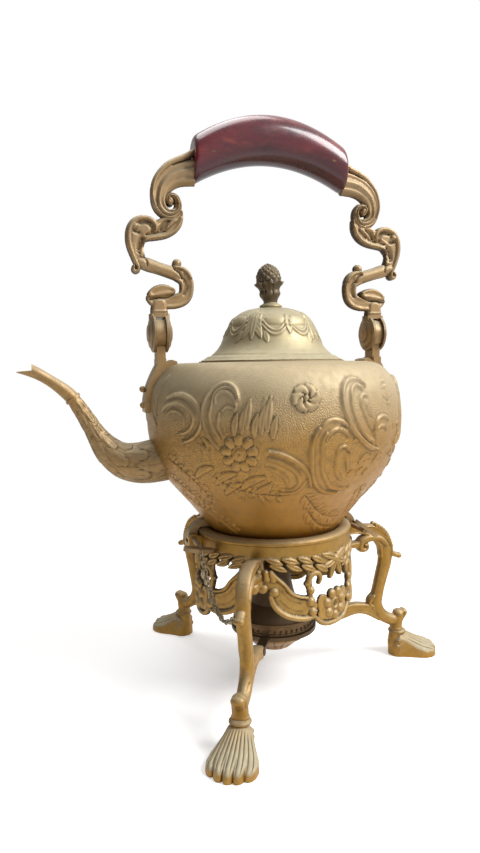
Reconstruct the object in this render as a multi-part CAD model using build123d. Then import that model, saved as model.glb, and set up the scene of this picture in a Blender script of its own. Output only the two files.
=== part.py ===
"""A gilt brass spirit kettle on a three-legged burner stand, in millimetres.

The origin is on the floor under the kettle's axis. +Z is up and the spout points to -X.
The handle's two hinges, the spout and the two pins that hold the kettle lie in the plane
of X and Z. The three legs stand at 0, 120 and -120 degrees round +Z.
"""

import os
from math import atan2, cos, degrees, hypot, pi, radians, sin

from build123d import *

# Fits
RUN_FIT = 0.05          # radial gap of a pin that turns or slides in its hole
SEAT_GAP = 0.3          # gap between curved faces that would otherwise touch
SOLDER = 0.03           # solder film between a fitting and the body
SHEET = 1.2             # wall of the raised brass sheet

# Kettle body
SEAT_Z = 98.0           # height of the ledge that carries the kettle
FOOT_R = 38.0           # radius of the kettle's flat bottom
BASE_R = 43.6           # radius where the conical foot meets the body
FOOT_H = 7.0            # height of the conical foot
BELLY_R = 81.7          # widest radius of the body
BODY_H = 106.6          # from the top of the conical foot to the shoulder
SHOULDER_R = 62.0       # where the belly turns in to the flat shoulder
MOUTH_R = 43.0          # bore of the mouth ring
MOUTH_RING_T = 2.4      # thickness of the mouth ring's wall
MOUTH_RING_H = 6.0      # height of the mouth ring

# Lid
LID_R = 48.4            # edge of the lid
LID_H = 34.0            # rise of the lid from its edge to the finial's seat
LID_SHEET = 1.0
SKIRT_H = 7.5           # depth of the skirt that drops into the mouth
SKIRT_T = 1.4
FINIAL_SEAT_R = 7.2
FINIAL_PLATE_H = 3.4
FINIAL_CUP_H = 13.0
FINIAL_CONE_R = 7.8
FINIAL_CONE_H = 17.0
FINIAL_LEAN = 5.0       # the knob leans towards the spout, in degrees
STUD_R = 1.6

# Spout
SPOUT_ROOT_R = 13.6
SPOUT_WALL = 1.2
STRAINER_HOLE_R = 1.8
STRAINER_PITCH = 5.4

# Handle
HINGE_X = 73.1          # middle of each hinge from the axis
HINGE_RISE = 18.2       # hinge height above the shoulder
TONGUE_T = 5.4          # thickness of the post's tongue
TONGUE_R = 9.4
FORK_R = 11.6           # radius of the fork's cheeks
FORK_T = 3.7            # greatest thickness of each cheek
FORK_EDGE = 1.5         # thickness of each cheek at its edge
HINGE_PIN_R = 2.2
POST_W = 11.0           # width of the post across the handle
ARM_T = 8.6             # thickness of the scrolled arms
GRIP_X = 50.0           # half length of the grip
GRIP_TOP = 136.4        # grip's highest point above the hinge
GRIP_DEPTH = 30.4       # grip's depth at its middle
GRIP_END_DEPTH = 28.6
GRIP_W = 26.0           # grip's width at its middle
GRIP_BOW = 16.6         # drop of the grip's ends below its middle
TANG_R = 4.0
TANG_L = 19.0
GRIP_PIN_R = 1.4
BRACKET_W = 15.0
RIVET_R = 1.3

# Stand
ROLL_R = 51.8           # outer radius of the rolled rim
ROLL_H = 4.0
BAND_R = 51.2           # outer radius of the band and of the pierced gallery
BAND_H = 5.9
LEDGE_W = 3.0           # width of the ledge under the kettle
GALLERY_T = 2.0
GALLERY_H = 47.5        # depth of the gallery below the band
RELIEF = 2.0            # height of the cast relief on the gallery
LEG_T = 8.0             # thickness of the legs
FOOT_L = 36.6           # length of the shell foot from its heel
FOOT_SPREAD = 33.0      # half angle of the shell foot's fan, in degrees
HEEL_R = 88.0           # heel of the foot from the axis
LEG_ANGLES = (0.0, 120.0, -120.0)

# Pins that hold the kettle on its stand
LOCK_X = 55.5
LOCK_RISE = 1.5         # height of the pins above the ledge
LOCK_PIN_R = 1.5
LUG_W = 8.0             # width of the kettle's lugs
LUG_R = 3.2
EAR_T = 3.5
EAR_DROP = 2.8          # how far the front ears reach below the band
PIN_HEAD_Y = 25.0       # the flat heads lie this far to the near side
PIN_HEAD_L = 20.0
PIN_HEAD_W = 8.6
PIN_HEAD_T = 2.4
HEAD_OFFSET = 0.9       # the flat heads lie beside the pins' middles
EYE_R = 1.0             # eye in a flat head for the chain's ring
EYE_OUT = 2.5           # from the head's middle to its eye
FRONT_HEAD_TURN = 171.0
REAR_HEAD_TURN = -37.0

# Burner
BURNER_Z = 19.0         # underside of the spirit bowl
BOWL_R = 25.6
BOWL_H = 17.2
BURNER_BAND_R = 27.2
BURNER_BAND_H = 7.0
BURNER_SHEET = 1.2
COLLAR_R = 16.5         # top of the burner's shoulder
COLLAR_H = 8.0
WICK_TUBE_R = 8.0
WICK_TUBE_H = 17.0
SNUFFER_H = 31.0
CRADLE_T = 2.6
CRADLE_ARM_W = 6.0

# Chain
LINK_L = 2.9
LINK_W = 1.9
LINK_T = 0.45
CHAIN_GAP = 0.1
RING_WIRE_R = 0.35
CHAIN_SAG = 8.0
RING_R = 2.3            # ring in the front pin's eye
EYE_RING_R = 1.6        # eye on the front leg
LEAF_R = 91.7           # the eye's distance from the axis
LEAF_DROP = 21.8        # and its drop below the band
LEAF_T = 4.0            # thickness of the legs' leaf tips

BODY_Z = SEAT_Z + FOOT_H
SHOULDER_Z = BODY_Z + BODY_H
MOUTH_Z = SHOULDER_Z + 0.6
HINGE_Z = SHOULDER_Z + HINGE_RISE
BAND_TOP = SEAT_Z + 3.6
BAND_Z = BAND_TOP - BAND_H
LOCK_Z = SEAT_Z + LOCK_RISE
DOME_TOP = MOUTH_Z + LID_H
BAND_BURNER_Z = BURNER_Z + BOWL_H
SPAN = BODY_H / 106.6   # how much taller or lower than drawn the body is

parts = {}


def flat(point):
    """A (distance, height) pair as a point of the X-Z plane."""
    return (point[0], 0, point[1])


def curve(points):
    """A smooth edge through (x, z) points."""
    return Spline(*[flat(p) for p in points])


def line(points):
    """Straight edges through (x, z) points."""
    return Polyline(*[flat(p) for p in points])


def face_of(*runs):
    """The face inside runs of edges that follow each other round."""
    edges = [edge for run in runs for edge in run.edges()]
    return make_face(edges)


def turned(*runs):
    """A solid turned about the axis from runs of edges."""
    return revolve(face_of(*runs), Axis.Z)


def lathe(points):
    """A solid turned from a closed outline of straight lines."""
    return revolve(make_face(Polyline(*[flat(p) for p in points], close=True)), Axis.Z)


def inset(points, wall):
    """The points moved by the wall to the left of their own direction."""
    moved = []
    last = len(points) - 1
    for i, (x, z) in enumerate(points):
        before, after = points[max(i - 1, 0)], points[min(i + 1, last)]
        dx, dz = after[0] - before[0], after[1] - before[1]
        length = hypot(dx, dz)
        moved.append((x - wall * dz / length, z + wall * dx / length))
    return moved


def stroke(stations):
    """A face that follows (x, z, half width) stations, with round ends."""
    centres = [(x, z) for x, z, _ in stations]
    left, right = [], []
    last = len(centres) - 1
    for i, (x, z, half) in enumerate(stations):
        before, after = centres[max(i - 1, 0)], centres[min(i + 1, last)]
        dx, dz = after[0] - before[0], after[1] - before[1]
        length = hypot(dx, dz)
        left.append((x - half * dz / length, z + half * dx / length))
        right.append((x + half * dz / length, z - half * dx / length))
    tips = []
    for end, nearby in ((last, last - 1), (0, 1)):
        x, z, half = stations[end]
        dx, dz = x - centres[nearby][0], z - centres[nearby][1]
        length = hypot(dx, dz)
        tips.append((x + half * dx / length, z + half * dz / length))
    far_cap = ThreePointArc(flat(left[-1]), flat(tips[0]), flat(right[-1]))
    near_cap = ThreePointArc(flat(right[0]), flat(tips[1]), flat(left[0]))
    return make_face([curve(left), far_cap, curve(right[::-1]), near_cap])


def slab(face, thickness):
    """A face of the X-Z plane thickened evenly to both sides."""
    return extrude(face, amount=thickness / 2, both=True)


def along_y(x, z, radius, y_from, y_to):
    """A round bar along Y."""
    middle = (x, (y_from + y_to) / 2, z)
    return Location(middle, (90, 0, 0)) * Cylinder(radius, abs(y_to - y_from))


def along_x(z, radius, x_from, x_to, y=0):
    """A round bar along X."""
    middle = ((x_from + x_to) / 2, y, z)
    return Location(middle, (0, 90, 0)) * Cylinder(radius, abs(x_to - x_from))


def upright(radius, z_from, z_to):
    """A round bar on the axis."""
    return Pos(0, 0, (z_from + z_to) / 2) * Cylinder(radius, z_to - z_from)


def mirrored(solid):
    """The same piece on the spout side."""
    return mirror(solid, about=Plane.YZ)


# The kettle's body

def body_outline():
    """The belly's outside from the foot up to the shoulder."""
    shares = ((0.0, 0.0), (0.21, 0.105), (0.49, 0.223), (0.745, 0.338), (0.93, 0.488),
              (0.997, 0.64), (0.985, 0.779), (0.94, 0.854), (0.83, 0.924))
    rise = BELLY_R - BASE_R
    points = [(BASE_R + rise * r, BODY_Z + BODY_H * h) for r, h in shares]
    points.append((SHOULDER_R + 6, SHOULDER_Z - 1.9))
    points.append((SHOULDER_R, SHOULDER_Z - 0.4))
    return points


def body_envelope(grow=0.0):
    """The full volume inside the kettle's outside, used to fit what sits on it."""
    outline = inset(body_outline(), -grow)
    foot = (FOOT_R + grow, SEAT_Z - grow)
    top = SHOULDER_Z + grow
    mouth = (MOUTH_R, top)
    return turned(
        line([mouth, (0, top), (0, foot[1]), foot, outline[0]]),
        curve(outline),
        line([outline[-1], mouth]),
    )


def kettle_shell():
    """The raised body, open at the foot and at the mouth, with the spout's strainer holes."""
    outside = body_outline()
    inside = inset(outside, SHEET)
    lip_r = MOUTH_R + MOUTH_RING_T
    shell = turned(
        curve(outside),
        line([outside[-1], (lip_r, SHOULDER_Z), (lip_r, SHOULDER_Z - SHEET), inside[-1]]),
        curve(inside[::-1]),
        line([inside[0], outside[0]]),
    )
    for y, z in strainer_places():
        shell -= along_x(z, STRAINER_HOLE_R, -BELLY_R - 5, -BASE_R, y)
    for side in (1, -1):
        for z in bracket_rivet_heights():
            shell -= along_x(z, RIVET_R, side * BASE_R, side * (BELLY_R + 9))
    return shell


def strainer_places():
    """Rows of holes in the wall behind the spout."""
    places = []
    for row in range(-1, 2):
        count = 3 - abs(row)
        for i in range(count):
            y = (i - (count - 1) / 2) * STRAINER_PITCH
            places.append((y, spout_root()[1] + row * STRAINER_PITCH * 0.87))
    return places


def kettle_bottom():
    """The heated bottom plate with its conical foot, which rests on the stand's ledge."""
    return lathe([
        (0, SEAT_Z), (FOOT_R, SEAT_Z), (BASE_R, BODY_Z), (BASE_R - SHEET, BODY_Z),
        (FOOT_R - SHEET, SEAT_Z + SHEET), (0, SEAT_Z + SHEET),
    ])


def mouth_ring():
    """The turned ring in the mouth, whose flat top carries the lid."""
    outer = MOUTH_R + MOUTH_RING_T
    return lathe([
        (MOUTH_R, MOUTH_Z - MOUTH_RING_H), (outer, MOUTH_Z - MOUTH_RING_H),
        (outer, SHOULDER_Z), (LID_R - 1.0, SHOULDER_Z), (LID_R - 1.0, MOUTH_Z), (MOUTH_R, MOUTH_Z),
    ])


# The spout

def spout_root():
    """Middle of the spout where it leaves the body."""
    return (-BELLY_R + 7.2, BODY_Z + 46.0)


def spout_stations():
    """(x, z, radius, direction in degrees above -X) down the spout, from inside the body."""
    x, z = spout_root()
    return [
        (x + 9.0, z + 1.4, SPOUT_ROOT_R, -8.0),
        (x, z, SPOUT_ROOT_R, -5.0),
        (x - 11.5, z - 1.4, 0.93 * SPOUT_ROOT_R, 1.0),
        (x - 23.5, z + 1.0, 0.80 * SPOUT_ROOT_R, 22.0),
        (x - 32.0, z + 7.4, 0.63 * SPOUT_ROOT_R, 45.0),
        (x - 40.0, z + 19.2, 0.41 * SPOUT_ROOT_R, 60.0),
        (x - 48.0, z + 33.2, 0.32 * SPOUT_ROOT_R, 59.0),
        (x - 52.2, z + 39.8, 0.30 * SPOUT_ROOT_R, 53.0),
    ]


def tip_stations():
    """The plain tip beyond the collar, which ends in an open beak."""
    x, z = spout_root()
    return [
        (x - 52.2, z + 39.8, 0.30 * SPOUT_ROOT_R, 53.0),
        (x - 59.0, z + 46.4, 0.285 * SPOUT_ROOT_R, 40.0),
        (x - 69.3, z + 53.6, 0.25 * SPOUT_ROOT_R, 32.0),
        (x - 77.0, z + 57.6, 0.28 * SPOUT_ROOT_R, 24.0),
        (x - 83.0, z + 59.4, 0.26 * SPOUT_ROOT_R, 16.0),
    ]


def tube(stations, shrink=0.0):
    """A smooth tube through circular stations, less the shrink in radius."""
    circles = []
    for x, z, radius, lift in stations:
        direction = (-cos(radians(lift)), 0, sin(radians(lift)))
        circles.append(Plane(origin=(x, 0, z), x_dir=(0, 1, 0), z_dir=direction) * Circle(radius - shrink))
    return loft(circles)


def spout():
    """The chased lower spout, soldered to the body."""
    return tube(spout_stations()) - body_envelope(SOLDER) - tube(spout_stations(), SPOUT_WALL)


def spout_tip():
    """The upper spout with its beak: the top of the last stretch is cut away."""
    x, z = spout_root()
    tip = tube(tip_stations()) - tube(tip_stations(), 0.8)
    scoop = face_of(line([
        (x - 75.3, z + 57.2), (x - 75.3, z + 61.6), (x - 79.0, z + 68.0),
        (x - 88.0, z + 66.0), (x - 88.0, z + 56.2), (x - 75.3, z + 57.2),
    ]))
    return tip - slab(scoop, 4 * SPOUT_WALL + SPOUT_ROOT_R)


def spout_collar():
    """The raised ring over the joint between spout and tip."""
    x, z, radius, lift = tip_stations()[0]
    direction = (-cos(radians(lift)), 0, sin(radians(lift)))
    plane = Plane(origin=(x, 0, z), x_dir=(0, 1, 0), z_dir=direction)
    ring = plane * Pos(0, 0, -0.9) * extrude(Circle(radius + 0.9), amount=1.8)
    return ring - tube(spout_stations()) - tube(tip_stations()) - tube(tip_stations(), SPOUT_WALL)


# Handle brackets and hinges

def bracket_rivet_heights():
    """Heights of the two rivets in each bracket."""
    return (SHOULDER_Z - 26.0 * SPAN, SHOULDER_Z - 16.0 * SPAN)


def rear_bracket():
    """The bracket that hugs the shoulder, with its post and the hinge tongue."""
    half = TONGUE_T / 2
    inner, outer = HINGE_X - half, HINGE_X + half
    low = SHOULDER_Z - 30.5 * SPAN
    strap = face_of(
        line([(outer, SHOULDER_Z - 1.0), (outer, HINGE_Z - 8), (inner, HINGE_Z - 8), (inner, SHOULDER_Z - 0.5)]),
        line([(inner, SHOULDER_Z - 0.5), (inner - 3.6, SHOULDER_Z + 1.9), (inner - 6.6, SHOULDER_Z + 0.9)]),
        line([(inner - 6.6, SHOULDER_Z + 0.9), (inner - 9, SHOULDER_Z - 9), (BELLY_R - 6, low), (BELLY_R + 2.4, low)]),
        curve([(BELLY_R + 2.4, low), (BELLY_R + 2.2, low + 9), (outer + 3.4, SHOULDER_Z - 7.4), (outer, SHOULDER_Z - 1.0)]),
    )
    bracket = slab(strap, BRACKET_W) - body_envelope(SOLDER)
    shoulders = Pos(HINGE_X, 0, HINGE_Z) * Box(6 * TONGUE_T, POST_W, 2 * HINGE_RISE)
    above = Pos(HINGE_X, 0, HINGE_Z + 2.6) * Box(6 * TONGUE_T, 2 * BRACKET_W, 2 * HINGE_RISE)
    bracket = (bracket - above) + (bracket & shoulders)
    tongue = along_x(HINGE_Z, TONGUE_R, inner, outer)
    bracket += tongue
    bracket -= along_x(HINGE_Z, HINGE_PIN_R + RUN_FIT, inner - 1, outer + 1)
    for z in bracket_rivet_heights():
        bracket -= along_x(z, RIVET_R, BASE_R, BELLY_R + 9)
    return bracket


def bracket_rivets():
    """Four round-headed rivets that hold the brackets to the body."""
    rivets = []
    for side in (1, -1):
        for z in bracket_rivet_heights():
            shank = along_x(z, RIVET_R, side * (BELLY_R - 5.2), side * (BELLY_R + 2.8))
            head = Pos(side * (BELLY_R + 2.8), 0, z) * Sphere(1.6 * RIVET_R)
            rivets.append((shank + head) - kettle_wall_clear(side) - bracket_on(side))
    return Compound(children=[rivet.solid() for rivet in rivets])


def bracket_on(side):
    """The bracket on the handle's side (1) or on the spout's side (-1)."""
    return rear_bracket() if side == 1 else mirrored(rear_bracket())


def kettle_wall_clear(side):
    """What trims the rivets' inner ends flush inside the body."""
    return Pos(side * (BELLY_R - 12), 0, SHOULDER_Z - 20) * Box(13, 12, 60)


def hinge_pin():
    """The pin hidden between the fork's domed cheeks."""
    reach = TONGUE_T / 2 + 2.2
    return along_x(HINGE_Z, HINGE_PIN_R, HINGE_X - reach, HINGE_X + reach)


def cheek():
    """One domed disc of the fork, turned about the hinge's axis."""
    inner = HINGE_X + TONGUE_T / 2 + SEAT_GAP
    rim = inner + FORK_EDGE
    section = face_of(
        line([(inner, HINGE_Z), (inner, HINGE_Z + FORK_R), (rim, HINGE_Z + FORK_R)]),
        curve([(rim, HINGE_Z + FORK_R), (inner + 0.8 * FORK_T, HINGE_Z + 0.6 * FORK_R), (inner + FORK_T, HINGE_Z)]),
        line([(inner + FORK_T, HINGE_Z), (inner, HINGE_Z)]),
    )
    return revolve(section, Axis((HINGE_X, 0, HINGE_Z), (1, 0, 0)))


def fork():
    """Two domed cheeks round the tongue, joined above it by the neck."""
    gap = TONGUE_T / 2 + SEAT_GAP
    outer = cheek()
    inner = mirror(outer, about=Plane(origin=(HINGE_X, 0, HINGE_Z), z_dir=(1, 0, 0)))
    top = 15.5
    neck = Pos(HINGE_X, 0, HINGE_Z + top / 2) * Box(2 * gap + 2 * FORK_T - 2.6, ARM_T, top)
    slot = Pos(HINGE_X, 0, HINGE_Z) * Box(2 * gap, 4 * ARM_T, 2 * (TONGUE_R + 0.6))
    whole = (neck - slot) + outer + inner
    return whole - along_x(HINGE_Z, HINGE_PIN_R, HINGE_X - gap - 2, HINGE_X + gap + 2)


def horn():
    """The fluted horn that takes the grip's end, thinning down to the first scroll."""
    x, z = HINGE_X, HINGE_Z
    stations = [
        (GRIP_X, z + 104.4, 13.8, 10.6, 0), (x - 16.6, z + 100.6, 10.9, 9.2, 24),
        (x - 9.4, z + 95.4, 8.4, 7.8, 42), (x - 3.4, z + 88.4, 6.6, 6.2, 62),
        (x - 1.2, z + 80.4, 5.6, 5.0, 88), (x - 3.3, z + 72.4, 4.0, 4.3, 108),
    ]
    ovals = []
    for sx, sz, tall, wide, drop in stations:
        direction = (cos(radians(drop)), 0, -sin(radians(drop)))
        plane = Plane(origin=(sx, 0, sz), x_dir=(0, 1, 0), z_dir=direction)
        ovals.append(plane * Ellipse(wide, tall))
    return loft(ovals)


def scrolls():
    """Faces of the arm's scrolls, from the horn's end down to the neck."""
    x, z = HINGE_X, HINGE_Z
    return [
        stroke([(x - 6.6, z + 81.5, 1.6), (x - 11.6, z + 82.4, 2.2), (x - 13.4, z + 76.5, 2.7),
                (x - 11.2, z + 69.2, 3.4), (x - 6.0, z + 64.4, 4.4), (x + 1.0, z + 62.0, 4.9),
                (x + 5.4, z + 57.6, 3.0)]),
        stroke([(x - 3.0, z + 66.0, 4.4), (x + 5.4, z + 66.4, 4.2), (x + 12.6, z + 63.6, 4.2),
                (x + 15.2, z + 57.2, 4.1), (x + 14.2, z + 49.6, 3.9), (x + 11.6, z + 43.2, 3.7)]),
        stroke([(x + 12.8, z + 38.4, 3.3), (x + 6.4, z + 40.8, 3.9), (x - 2.4, z + 39.0, 3.9),
                (x - 9.6, z + 36.8, 4.4), (x - 15.6, z + 32.0, 4.9), (x - 16.4, z + 26.4, 5.1),
                (x - 12.6, z + 20.8, 4.7), (x - 5.4, z + 18.4, 4.2), (x + 2.6, z + 18.9, 4.4),
                (x + 5.6, z + 21.2, 3.4)]),
        stroke([(x - 10.6, z + 40.2, 2.4), (x - 11.2, z + 43.4, 2.3)]),
        stroke([(x - 5.8, z + 22.4, 3.4), (x - 0.6, z + 24.8, 3.9), (x + 4.2, z + 24.0, 3.5)]),
    ]


def rear_arm():
    """One cast arm of the handle: tang, horn, scrolls and fork."""
    arm = horn()
    for face in scrolls():
        arm += slab(face, ARM_T)
    arm += fork()
    arm -= Pos(0, 0, HINGE_Z + 104.4) * Box(2 * GRIP_X, 4 * ARM_T, 60)
    arm += tang()
    return arm - grip_pin_bar(1)


def tang_place():
    """The tang's root and its direction into the grip."""
    rise = 24.0
    return (GRIP_X, HINGE_Z + 104.4, rise)


def tang():
    """The round tang inside the grip's end."""
    x, z, rise = tang_place()
    plane = Plane(origin=(x, 0, z), z_dir=(-cos(radians(rise)), 0, sin(radians(rise))))
    inside = plane * extrude(Circle(TANG_R), amount=TANG_L)
    return inside + plane * Pos(0, 0, -4) * extrude(Circle(TANG_R), amount=4.1)


def grip_pin_bar(side):
    """The pin across the grip and one tang."""
    x, z, rise = tang_place()
    reach = 0.6 * TANG_L
    half = GRIP_W / 2 - 0.7
    return along_y(side * (x - reach * cos(radians(rise))), z + reach * sin(radians(rise)), GRIP_PIN_R, -half, half)


def grip_pins():
    """Two brass pins across the grip."""
    return Compound(children=[grip_pin_bar(side).solid() for side in (1, -1)])


def grip():
    """The bowed grip of polished horn, bored at both ends for the tangs."""
    top = HINGE_Z + GRIP_TOP
    ovals = []
    for share in (-1.0, -0.62, 0.0, 0.62, 1.0):
        drop = GRIP_BOW * share ** 2
        tall = (GRIP_DEPTH + (GRIP_END_DEPTH - GRIP_DEPTH) * share ** 2) / 2
        wide = GRIP_W / 2 - 0.8 * share ** 2
        plane = Plane(origin=(GRIP_X * share, 0, top - drop - tall), x_dir=(0, 1, 0), z_dir=(1, 0, 0))
        ovals.append(plane * Ellipse(wide, tall))
    body = loft(ovals)
    for side in (1, -1):
        bore = tang() if side == 1 else mirrored(tang())
        body = body - bore - grip_pin_bar(side)
    return body


# The lid

def dome_outline():
    """The lid's outside from its edge up to the finial's seat."""
    shares = ((0.87, 0.068), (0.76, 0.177), (0.673, 0.347), (0.626, 0.5), (0.572, 0.653),
              (0.504, 0.806), (0.405, 0.912), (0.25, 0.985))
    points = [(LID_R, MOUTH_Z + 0.5)]
    points += [(LID_R * r, MOUTH_Z + LID_H * h) for r, h in shares]
    points.append((FINIAL_SEAT_R, DOME_TOP))
    return points


def lid_dome():
    """The raised lid with a flat seat for the finial."""
    outside = dome_outline()
    inside = inset(outside, LID_SHEET)
    rim_in = (MOUTH_R - SEAT_GAP - SKIRT_T, MOUTH_Z)
    lower = [p for p in inside if p[0] < rim_in[0] and p[1] > MOUTH_Z + 0.4]
    dome = turned(
        curve(outside),
        line([outside[-1], (0, DOME_TOP), (0, DOME_TOP - LID_SHEET), (FINIAL_SEAT_R - 1, DOME_TOP - LID_SHEET)]),
        curve([(FINIAL_SEAT_R - 1, DOME_TOP - LID_SHEET)] + lower[:-1][::-1] + [rim_in]),
        line([rim_in, (LID_R, MOUTH_Z), outside[0]]),
    )
    return dome - upright(STUD_R, DOME_TOP - 9, DOME_TOP + 9)


def lid_skirt():
    """The ring under the lid that drops into the mouth."""
    outer = MOUTH_R - SEAT_GAP
    return lathe([
        (outer - SKIRT_T, MOUTH_Z - SKIRT_H), (outer, MOUTH_Z - SKIRT_H), (outer, MOUTH_Z), (outer - SKIRT_T, MOUTH_Z),
    ])


def finial_plate():
    """The turned disc under the knob."""
    r, z, h = FINIAL_SEAT_R, DOME_TOP, FINIAL_PLATE_H
    plate = turned(
        line([(0, z), (r - 0.4, z)]),
        curve([(r - 0.4, z), (r, z + 0.45 * h), (r - 1.9, z + 0.8 * h), (r - 2.6, z + h)]),
        line([(r - 2.6, z + h), (0, z + h), (0, z)]),
    )
    return plate - upright(STUD_R, z - 5, z + h + 5)


def lean(solid):
    """The piece tipped about the top of the finial's plate towards the spout."""
    base = (0, 0, DOME_TOP + FINIAL_PLATE_H)
    return Pos(*base) * Rot(0, -FINIAL_LEAN, 0) * Pos(0, 0, -base[2]) * solid


def finial_cup():
    """The leaf cup that holds the pine cone; its base is cut flat on the plate."""
    z = DOME_TOP + FINIAL_PLATE_H
    r = FINIAL_CONE_R
    cup = turned(
        line([(0, z - 0.8), (4.4, z - 0.8)]),
        curve([(4.4, z - 0.8), (4.8, z + 2.0), (r - 1.2, z + 0.42 * FINIAL_CUP_H), (r - 1.6, z + 0.6 * FINIAL_CUP_H),
               (r + 1.6, z + FINIAL_CUP_H)]),
        line([(r + 1.6, z + FINIAL_CUP_H), (r + 0.5, z + FINIAL_CUP_H), (0, z + 0.55 * FINIAL_CUP_H), (0, z - 0.8)]),
    )
    cup = lean(cup) - Pos(0, 0, z - 5) * Box(30, 30, 10) - lean(finial_ovoid())
    return cup - upright(STUD_R, z - 1, z + stud_reach())


def stud_reach():
    """How far the stud rises into the leaf cup."""
    return 0.35 * FINIAL_CUP_H


def finial_ovoid():
    """The pine cone's plain egg shape, in line with the axis."""
    z = DOME_TOP + FINIAL_PLATE_H + 0.48 * FINIAL_CUP_H
    h = FINIAL_CONE_H + 2.0
    r = FINIAL_CONE_R
    return turned(
        curve([(0, z), (0.66 * r, z + 0.07 * h), (r, z + 0.42 * h), (0.72 * r, z + 0.8 * h), (0, z + h)]),
        line([(0, z + h), (0, z)]),
    )


def finial_cone():
    """The pine cone knob."""
    return lean(finial_ovoid())


def finial_stud():
    """The screwed stud that ties the finial to the lid."""
    return upright(STUD_R, DOME_TOP - LID_SHEET - 3.4, DOME_TOP + FINIAL_PLATE_H + stud_reach())


def finial_nut():
    """The hexagonal nut under the lid."""
    top = DOME_TOP - LID_SHEET
    nut = Pos(0, 0, top - 2.4) * extrude(RegularPolygon(3.6, 6), amount=2.4)
    return nut - upright(STUD_R, top - 5, top + 1)


# The stand's rim and gallery

def stand_ring():
    """The rolled rim that the kettle's conical foot drops into."""
    top = BAND_TOP + ROLL_H
    inner = seat_radius(BAND_TOP)
    upper = seat_radius(top)
    mid = (ROLL_R + upper) / 2
    return turned(
        line([(upper, top - 1.0), (inner, BAND_TOP), (ROLL_R - 0.8, BAND_TOP)]),
        curve([(ROLL_R - 0.8, BAND_TOP), (ROLL_R, BAND_TOP + 1.6), (ROLL_R - 1.4, top - 0.6), (mid, top),
               (upper, top - 1.0)]),
    )


def seat_radius(z):
    """Radius of the conical seat at a height, clear of the kettle's foot."""
    slope = (BASE_R - FOOT_R) / FOOT_H
    return FOOT_R + slope * (z - SEAT_Z) + SEAT_GAP + 0.1


def ring_band():
    """The plain band under the rim, with the ledge that carries the kettle."""
    return lathe([
        (FOOT_R - LEDGE_W, BAND_Z), (BAND_R, BAND_Z), (BAND_R, BAND_TOP),
        (seat_radius(BAND_TOP), BAND_TOP), (seat_radius(SEAT_Z), SEAT_Z), (FOOT_R - LEDGE_W, SEAT_Z),
    ])


def gallery_wall(inner, outer, start, sweep, low, high):
    """A piece of a cylinder's wall between two angles and two heights."""
    section = make_face(Polyline((inner, 0, low), (outer, 0, low), (outer, 0, high), (inner, 0, high), close=True))
    return Rot(0, 0, start) * revolve(section, Axis.Z, revolution_arc=sweep)


def radial_prism(points, middle, smooth=True, reach=8.0):
    """A prism along a radius whose outline is given as (degrees, height) on the gallery."""
    flat_points = [(BAND_R * sin(radians(a - middle)), z) for a, z in points]
    if smooth:
        edge = Spline(*flat_points, periodic=True)
    else:
        edge = Polyline(*flat_points, close=True)
    plane = Plane(
        origin=(0, 0, 0),
        x_dir=(-sin(radians(middle)), cos(radians(middle)), 0),
        z_dir=(cos(radians(middle)), sin(radians(middle)), 0),
    )
    return plane.offset(BAND_R - reach) * extrude(make_face(edge), amount=2 * reach)


def both_ways(points):
    """An outline and its mirror image about the panel's middle at 60 degrees."""
    return [points, [(120 - a, z) for a, z in points[::-1]]]


def gallery_openings():
    """Outlines cut from each panel, as (degrees from its first leg, height)."""
    top = BAND_Z
    lower = [(-6, top - 60), (-6, top - 24), (5, top - 24), (11, top - 23), (14, top - 30), (20, top - 36.4),
             (28, top - 39.6), (37, top - 40), (43, top - 43), (51, top - 46.5), (60, top - 48), (60, top - 60)]
    upper = [(17, top - 12.5), (27, top - 9), (35, top - 10.5), (34.5, top - 23), (27, top - 22.6), (20.5, top - 16.5)]
    middle = [(42, top - 17), (50, top - 15), (60, top - 16.5), (70, top - 15), (78, top - 17), (76, top - 24),
              (68, top - 22), (60, top - 22.5), (52, top - 22), (44, top - 24)]
    return lower, upper, middle


def relief_shapes():
    """Raised ornament on half a panel: leaf garland, scroll rims and the knot."""
    top = BAND_Z
    shapes = []
    for i in range(6):
        a = 9 + 8.4 * i
        shapes.append([(a - 5.4, top - 3.2), (a, top - 0.9), (a + 5.4, top - 3.6), (a, top - 5.2)])
        shapes.append([(a - 5.0, top - 6.4), (a, top - 4.9), (a + 5.4, top - 7.2), (a, top - 9.0)])
    shapes.append([(11.4, top - 22.6), (16, top - 30), (24, top - 35.8), (37.6, top - 38), (38, top - 40),
                   (24, top - 38.8), (13.4, top - 32), (9.6, top - 24)])
    shapes.append([(8.6, top - 11), (15, top - 14.4), (21, top - 19.4), (28, top - 25), (36, top - 26),
                   (35.6, top - 27.6), (27, top - 27), (19.4, top - 21), (13.6, top - 16), (7.4, top - 13)])
    shapes.append([(2, top - 4), (7, top - 6), (9, top - 14), (6, top - 21), (1.6, top - 19)])
    return shapes


def bead_places():
    """Beads down each side of the rosette and beside the leg, on half a panel."""
    top = BAND_Z
    return [(4.2, top - 21.6, 2.6), (12.6, top - 23.2, 2.7), (11.8, top - 14.6, 2.4), (38.4, top - 19.6, 2.3),
            (38.6, top - 24.4, 2.5), (38.8, top - 30.4, 2.4), (39.2, top - 35.6, 2.6), (40.2, top - 39.4, 2.2)]


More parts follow.
